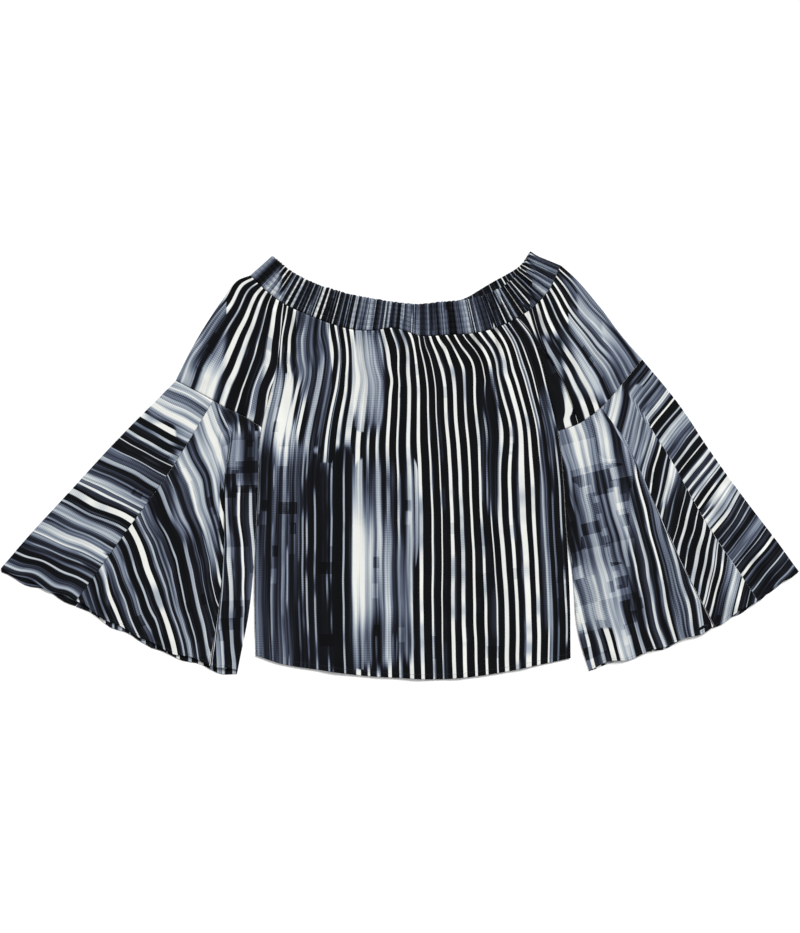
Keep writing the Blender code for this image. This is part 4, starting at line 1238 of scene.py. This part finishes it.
# painted shade: the back of the band, seen inside the neckline under the front band, has its print level
# halved
band_moods_with_painted_shade["level"][:, front_band.shape[1]:] *= BACK_BAND_PAINTED_SHADE
neck_band = cloth("neck_band_cloth", ring[::-1], band_print[::-1], band_moods_with_painted_shade, band_crepe, ["neck_band"])
print("band faces:", len(neck_band.data.polygons))

# %% [markdown]
# ## Threads
#
# Each hem is held by a line of stitches, and the band by five rows of elastic thread that dip into every
# crease. A stitch is a short bar of thread, thicker in the middle, lying on the cloth. There are hundreds,
# so each has fourteen faces only. The thread is spun polyester, matt and near black. It is drawn 0.5 mm
# thick, twice as thick as it is, so that a trace of it shows.


# %% Finish of the thread
spun_thread, tree, thread_shader = start_finish("spun_polyester_thread", {"Roughness": 0.75})
twist = add(tree, "TexNoise.3D", add(tree, "TexCoord", output=3), sockets={"Scale": 2500.0, "Detail": 2.0})
shade = add(tree, "MapRange.LINEAR", twist, 0.3, 0.7, 0.7, 1.25)
colour = add(tree, "Mix.RGBA", 1.0, sockets={6: linear(THREAD_COLOUR), 7: shade}, output=2,
             blend_type="MULTIPLY")
tree.links.new(colour, thread_shader.inputs["Base Color"])
tree.links.new(add(tree, "Bump", sockets={"Height": twist, "Strength": 0.4, "Distance": 0.0001}),
               thread_shader.inputs["Normal"])
print("thread:", spun_thread.name)

# %% Lines of stitches
THREAD_HALF_WIDTH = 0.25
THREAD_LIFT = 0.1
# Pitch and length of a stitch
HEM_STITCH = (3.4, 2.3)
ELASTIC_STITCH = (5.2, 2.6)
BODY_STITCH_INSET, FLOUNCE_STITCH_INSET = 1.2, 1.0


def stitches(name, runs, pitch, length):
    """For each stitch along the runs, three six-sided rings across its direction, full in the middle."""
    middles, directions = [], []
    for run in runs:
        gone = np.concatenate(([0], np.cumsum(np.linalg.norm(np.diff(run, axis=0), axis=1))))
        at = np.arange(pitch / 2, gone[-1], pitch)
        ends = [np.stack([np.interp(at + half, gone, run[:, k]) for k in range(3)], axis=1)
                for half in (-length / 2, length / 2)]
        middles.append((ends[0] + ends[1]) / 2)
        directions.append(unit(ends[1] - ends[0]))
    middle, along = np.concatenate(middles), np.concatenate(directions)
    side = unit(np.cross(along, (0, 0, 1)))
    up = np.cross(side, along)
    angle = np.radians(np.arange(6) * 60)
    station = np.array((-0.5, 0, 0.5)) * length
    radius = np.array((0.5, 1, 0.5)) * THREAD_HALF_WIDTH
    ring = side[:, None] * np.cos(angle)[:, None] + up[:, None] * np.sin(angle)[:, None]
    middle = (middle + (0, 0, CLOTH_THICKNESS / 2 + THREAD_LIFT))[:, None, None]
    places = middle + along[:, None, None] * station[:, None, None] + ring[:, None] * radius[:, None, None]
    first = (np.arange(len(middle)) * 3 * 6)[:, None]
    here, after = np.arange(6), (np.arange(6) + 1) % 6
    sides = np.concatenate([np.stack((here, here + 6, after + 6, after), axis=1) + 6 * k for k in (0, 1)])
    caps = np.stack((np.arange(6), 12 + np.arange(6)[::-1]))
    faces = (first[:, None] + sides).reshape(-1, 4).tolist() + (first[:, None] + caps).reshape(-1, 6).tolist()
    mesh = bpy.data.meshes.new(name)
    mesh.from_pydata(((places.reshape(-1, 3) - ORIGIN) * MM).tolist(), [], faces)
    mesh.materials.append(spun_thread)
    mesh.shade_smooth()
    piece = add_object(name, mesh)
    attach(piece, "root")
    print(name, len(middle), "stitches")
    return piece


# %% The hems and the elastic rows
def row_at(rows, up, length):
    """Index of the row that lies nearest to a distance above the edge."""
    return int(np.argmin(np.abs(rows - (1 - up / length))))


def columns_of(parts, first, last, skip=0, short=0):
    """The columns from one part of a row to another, less a few at the start and at the end."""
    ends = np.cumsum([0] + [part.shape[1] for part in parts])
    return slice(ends[first] + skip, ends[last + 1] - short)


body_row = row_at(hem_rows(FRONT_ROWS), BODY_HEM_WIDTH - BODY_STITCH_INSET, BODY_LENGTH)
body_stitches = stitches("body_hem_stitches", [front_grid[body_row]], *HEM_STITCH)
flounce_row = row_at(FLOUNCE_ROWS, FLOUNCE_HEM_WIDTH - FLOUNCE_STITCH_INSET, FLOUNCE_LENGTH)
left_stitches = stitches("left_flounce_hem_stitches", [
    left_outer_grid[flounce_row, columns_of(left_outer_parts, 0, 1)],
    left_inner_grid[flounce_row, columns_of(left_inner_parts, 0, 3)],
    left_inner_grid[flounce_row, columns_of(left_inner_parts, 5, 5, skip=2, short=1)]], *HEM_STITCH)
right_stitches = stitches("right_flounce_hem_stitches", [
    right_outer_grid[flounce_row, columns_of(right_outer_parts, 3, 3)],
    right_outer_grid[flounce_row, columns_of(right_outer_parts, 5, 5)],
    right_inner_grid[flounce_row, columns_of(right_inner_parts, 1, 1, skip=2)]], *HEM_STITCH)
elastic_rows = [int(round(k / (ELASTIC_ROWS + 1) * (BAND_ROWS - 1))) for k in range(1, ELASTIC_ROWS + 1)]
band_stitches = stitches("band_elastic_stitches", [front_band[row] for row in elastic_rows], *ELASTIC_STITCH)

# %% [markdown]
# ## What each piece of cloth was cut to
#
# A garment's panels are cut flat before they are sewn, gathered and folded. The table gives each piece's cut:
# its width and length, its area where the cut isn't a rectangle, and how it lies now.

# %% The cuts
CUTS = (
    (front_body, (0.52, 0.57), 0.240, "laid", [body_stitches]),
    (back_body, (0.52, 0.57), 0.235, "laid", []),
    (left_sleeve, (0.30, 0.20), 0.043, "laid", []),
    (right_sleeve, (0.36, 0.22), 0.050, "folded", []),
    (flounces[0], (0.42, 0.40), 0.075, "folded", [left_stitches]),
    (flounces[1], (0.60, 0.40), 0.140, "folded", []),
    (flounces[2], (0.60, 0.42), 0.108, "folded", [right_stitches]),
    (flounces[3], (0.60, 0.42), 0.112, "folded", []),
    (neck_band, (1.40, 0.045), None, "gathered", [band_stitches]),
)
for piece, flat, area, held, added in CUTS:
    print(piece.name, "cut", flat, "area", area or round(flat[0] * flat[1], 4))

# %% [markdown]
# ## Stage, light and camera
#
# The photo is a flat lay on white, lit evenly from above. A wide soft light overhead gives the even tone, a
# second one from the neck side gives the folds their slight shade, and the pale floor stays near white. The
# camera looks straight down, far enough away that the edges are seen nearly square on.

# %% Pale floor
FLOOR_HALF = 6.0
FLOOR_LEVEL = -0.0004
# Matt paper has no gloss, so the lights leave no bright patch on it
floor_finish, _, _ = start_finish("matt_white_paper", {
    "Base Color": linear(PAPER_COLOUR), "Roughness": 0.9, "Specular IOR Level": 0.1})
floor_mesh = bpy.data.meshes.new("floor")
floor_corners = [(FLOOR_HALF * x, FLOOR_HALF * y, FLOOR_LEVEL)
                 for x, y in ((-1, -1), (1, -1), (1, 1), (-1, 1))]
floor_mesh.from_pydata(floor_corners, [], [(0, 1, 2, 3)])
floor_mesh.materials.append(floor_finish)
floor = add_object("floor", floor_mesh)
print("floor:", 2 * FLOOR_HALF, "m wide")


# %% Soft lights and the surrounding light
def point_lamp(name, kind, place, **settings):
    """A lamp at a place, turned to look at the middle of the blouse, with its settings."""
    lamp = bpy.data.lights.new(name, kind)
    for key, value in settings.items():
        setattr(lamp, key, value)
    holder = add_object(name, lamp)
    holder.location = place
    x, y, z = place
    holder.rotation_euler = (np.arctan2(np.hypot(x, y), z), 0, np.arctan2(-y, -x) - np.pi / 2)


point_lamp("overhead", "AREA", (0.0, 0.3, 4.0), size=6.0, energy=52)
point_lamp("neck_side", "SUN", (1.3, 1.9, 2.1), energy=3.2, angle=0.4)
world = bpy.data.worlds.new("studio")
world.use_nodes = True
surround = world.node_tree.nodes["Background"]
surround.inputs["Color"].default_value = (1, 1, 1, 1)
surround.inputs["Strength"].default_value = 0.29
bpy.context.scene.world = world
bpy.context.scene.view_settings.view_transform = "Standard"
print("lamps:", [lamp.name for lamp in bpy.data.lights])

# %% Camera straight above
PHOTO_HEIGHT_PX = 933
MM_PER_PX = 1.5
LENS_MM, SENSOR_MM = 85.0, 36.0
PHOTO_MIDDLE_Y = -0.0018
view_height_m = PHOTO_HEIGHT_PX * MM_PER_PX * MM
camera_data = bpy.data.cameras.new("photo")
camera_data.lens, camera_data.sensor_width = LENS_MM, SENSOR_MM
camera = add_object("photo", camera_data)
camera.location = (0, PHOTO_MIDDLE_Y, view_height_m * LENS_MM / SENSOR_MM)
bpy.context.scene.camera = camera
print("camera height:", round(camera.location.z, 3), "m")
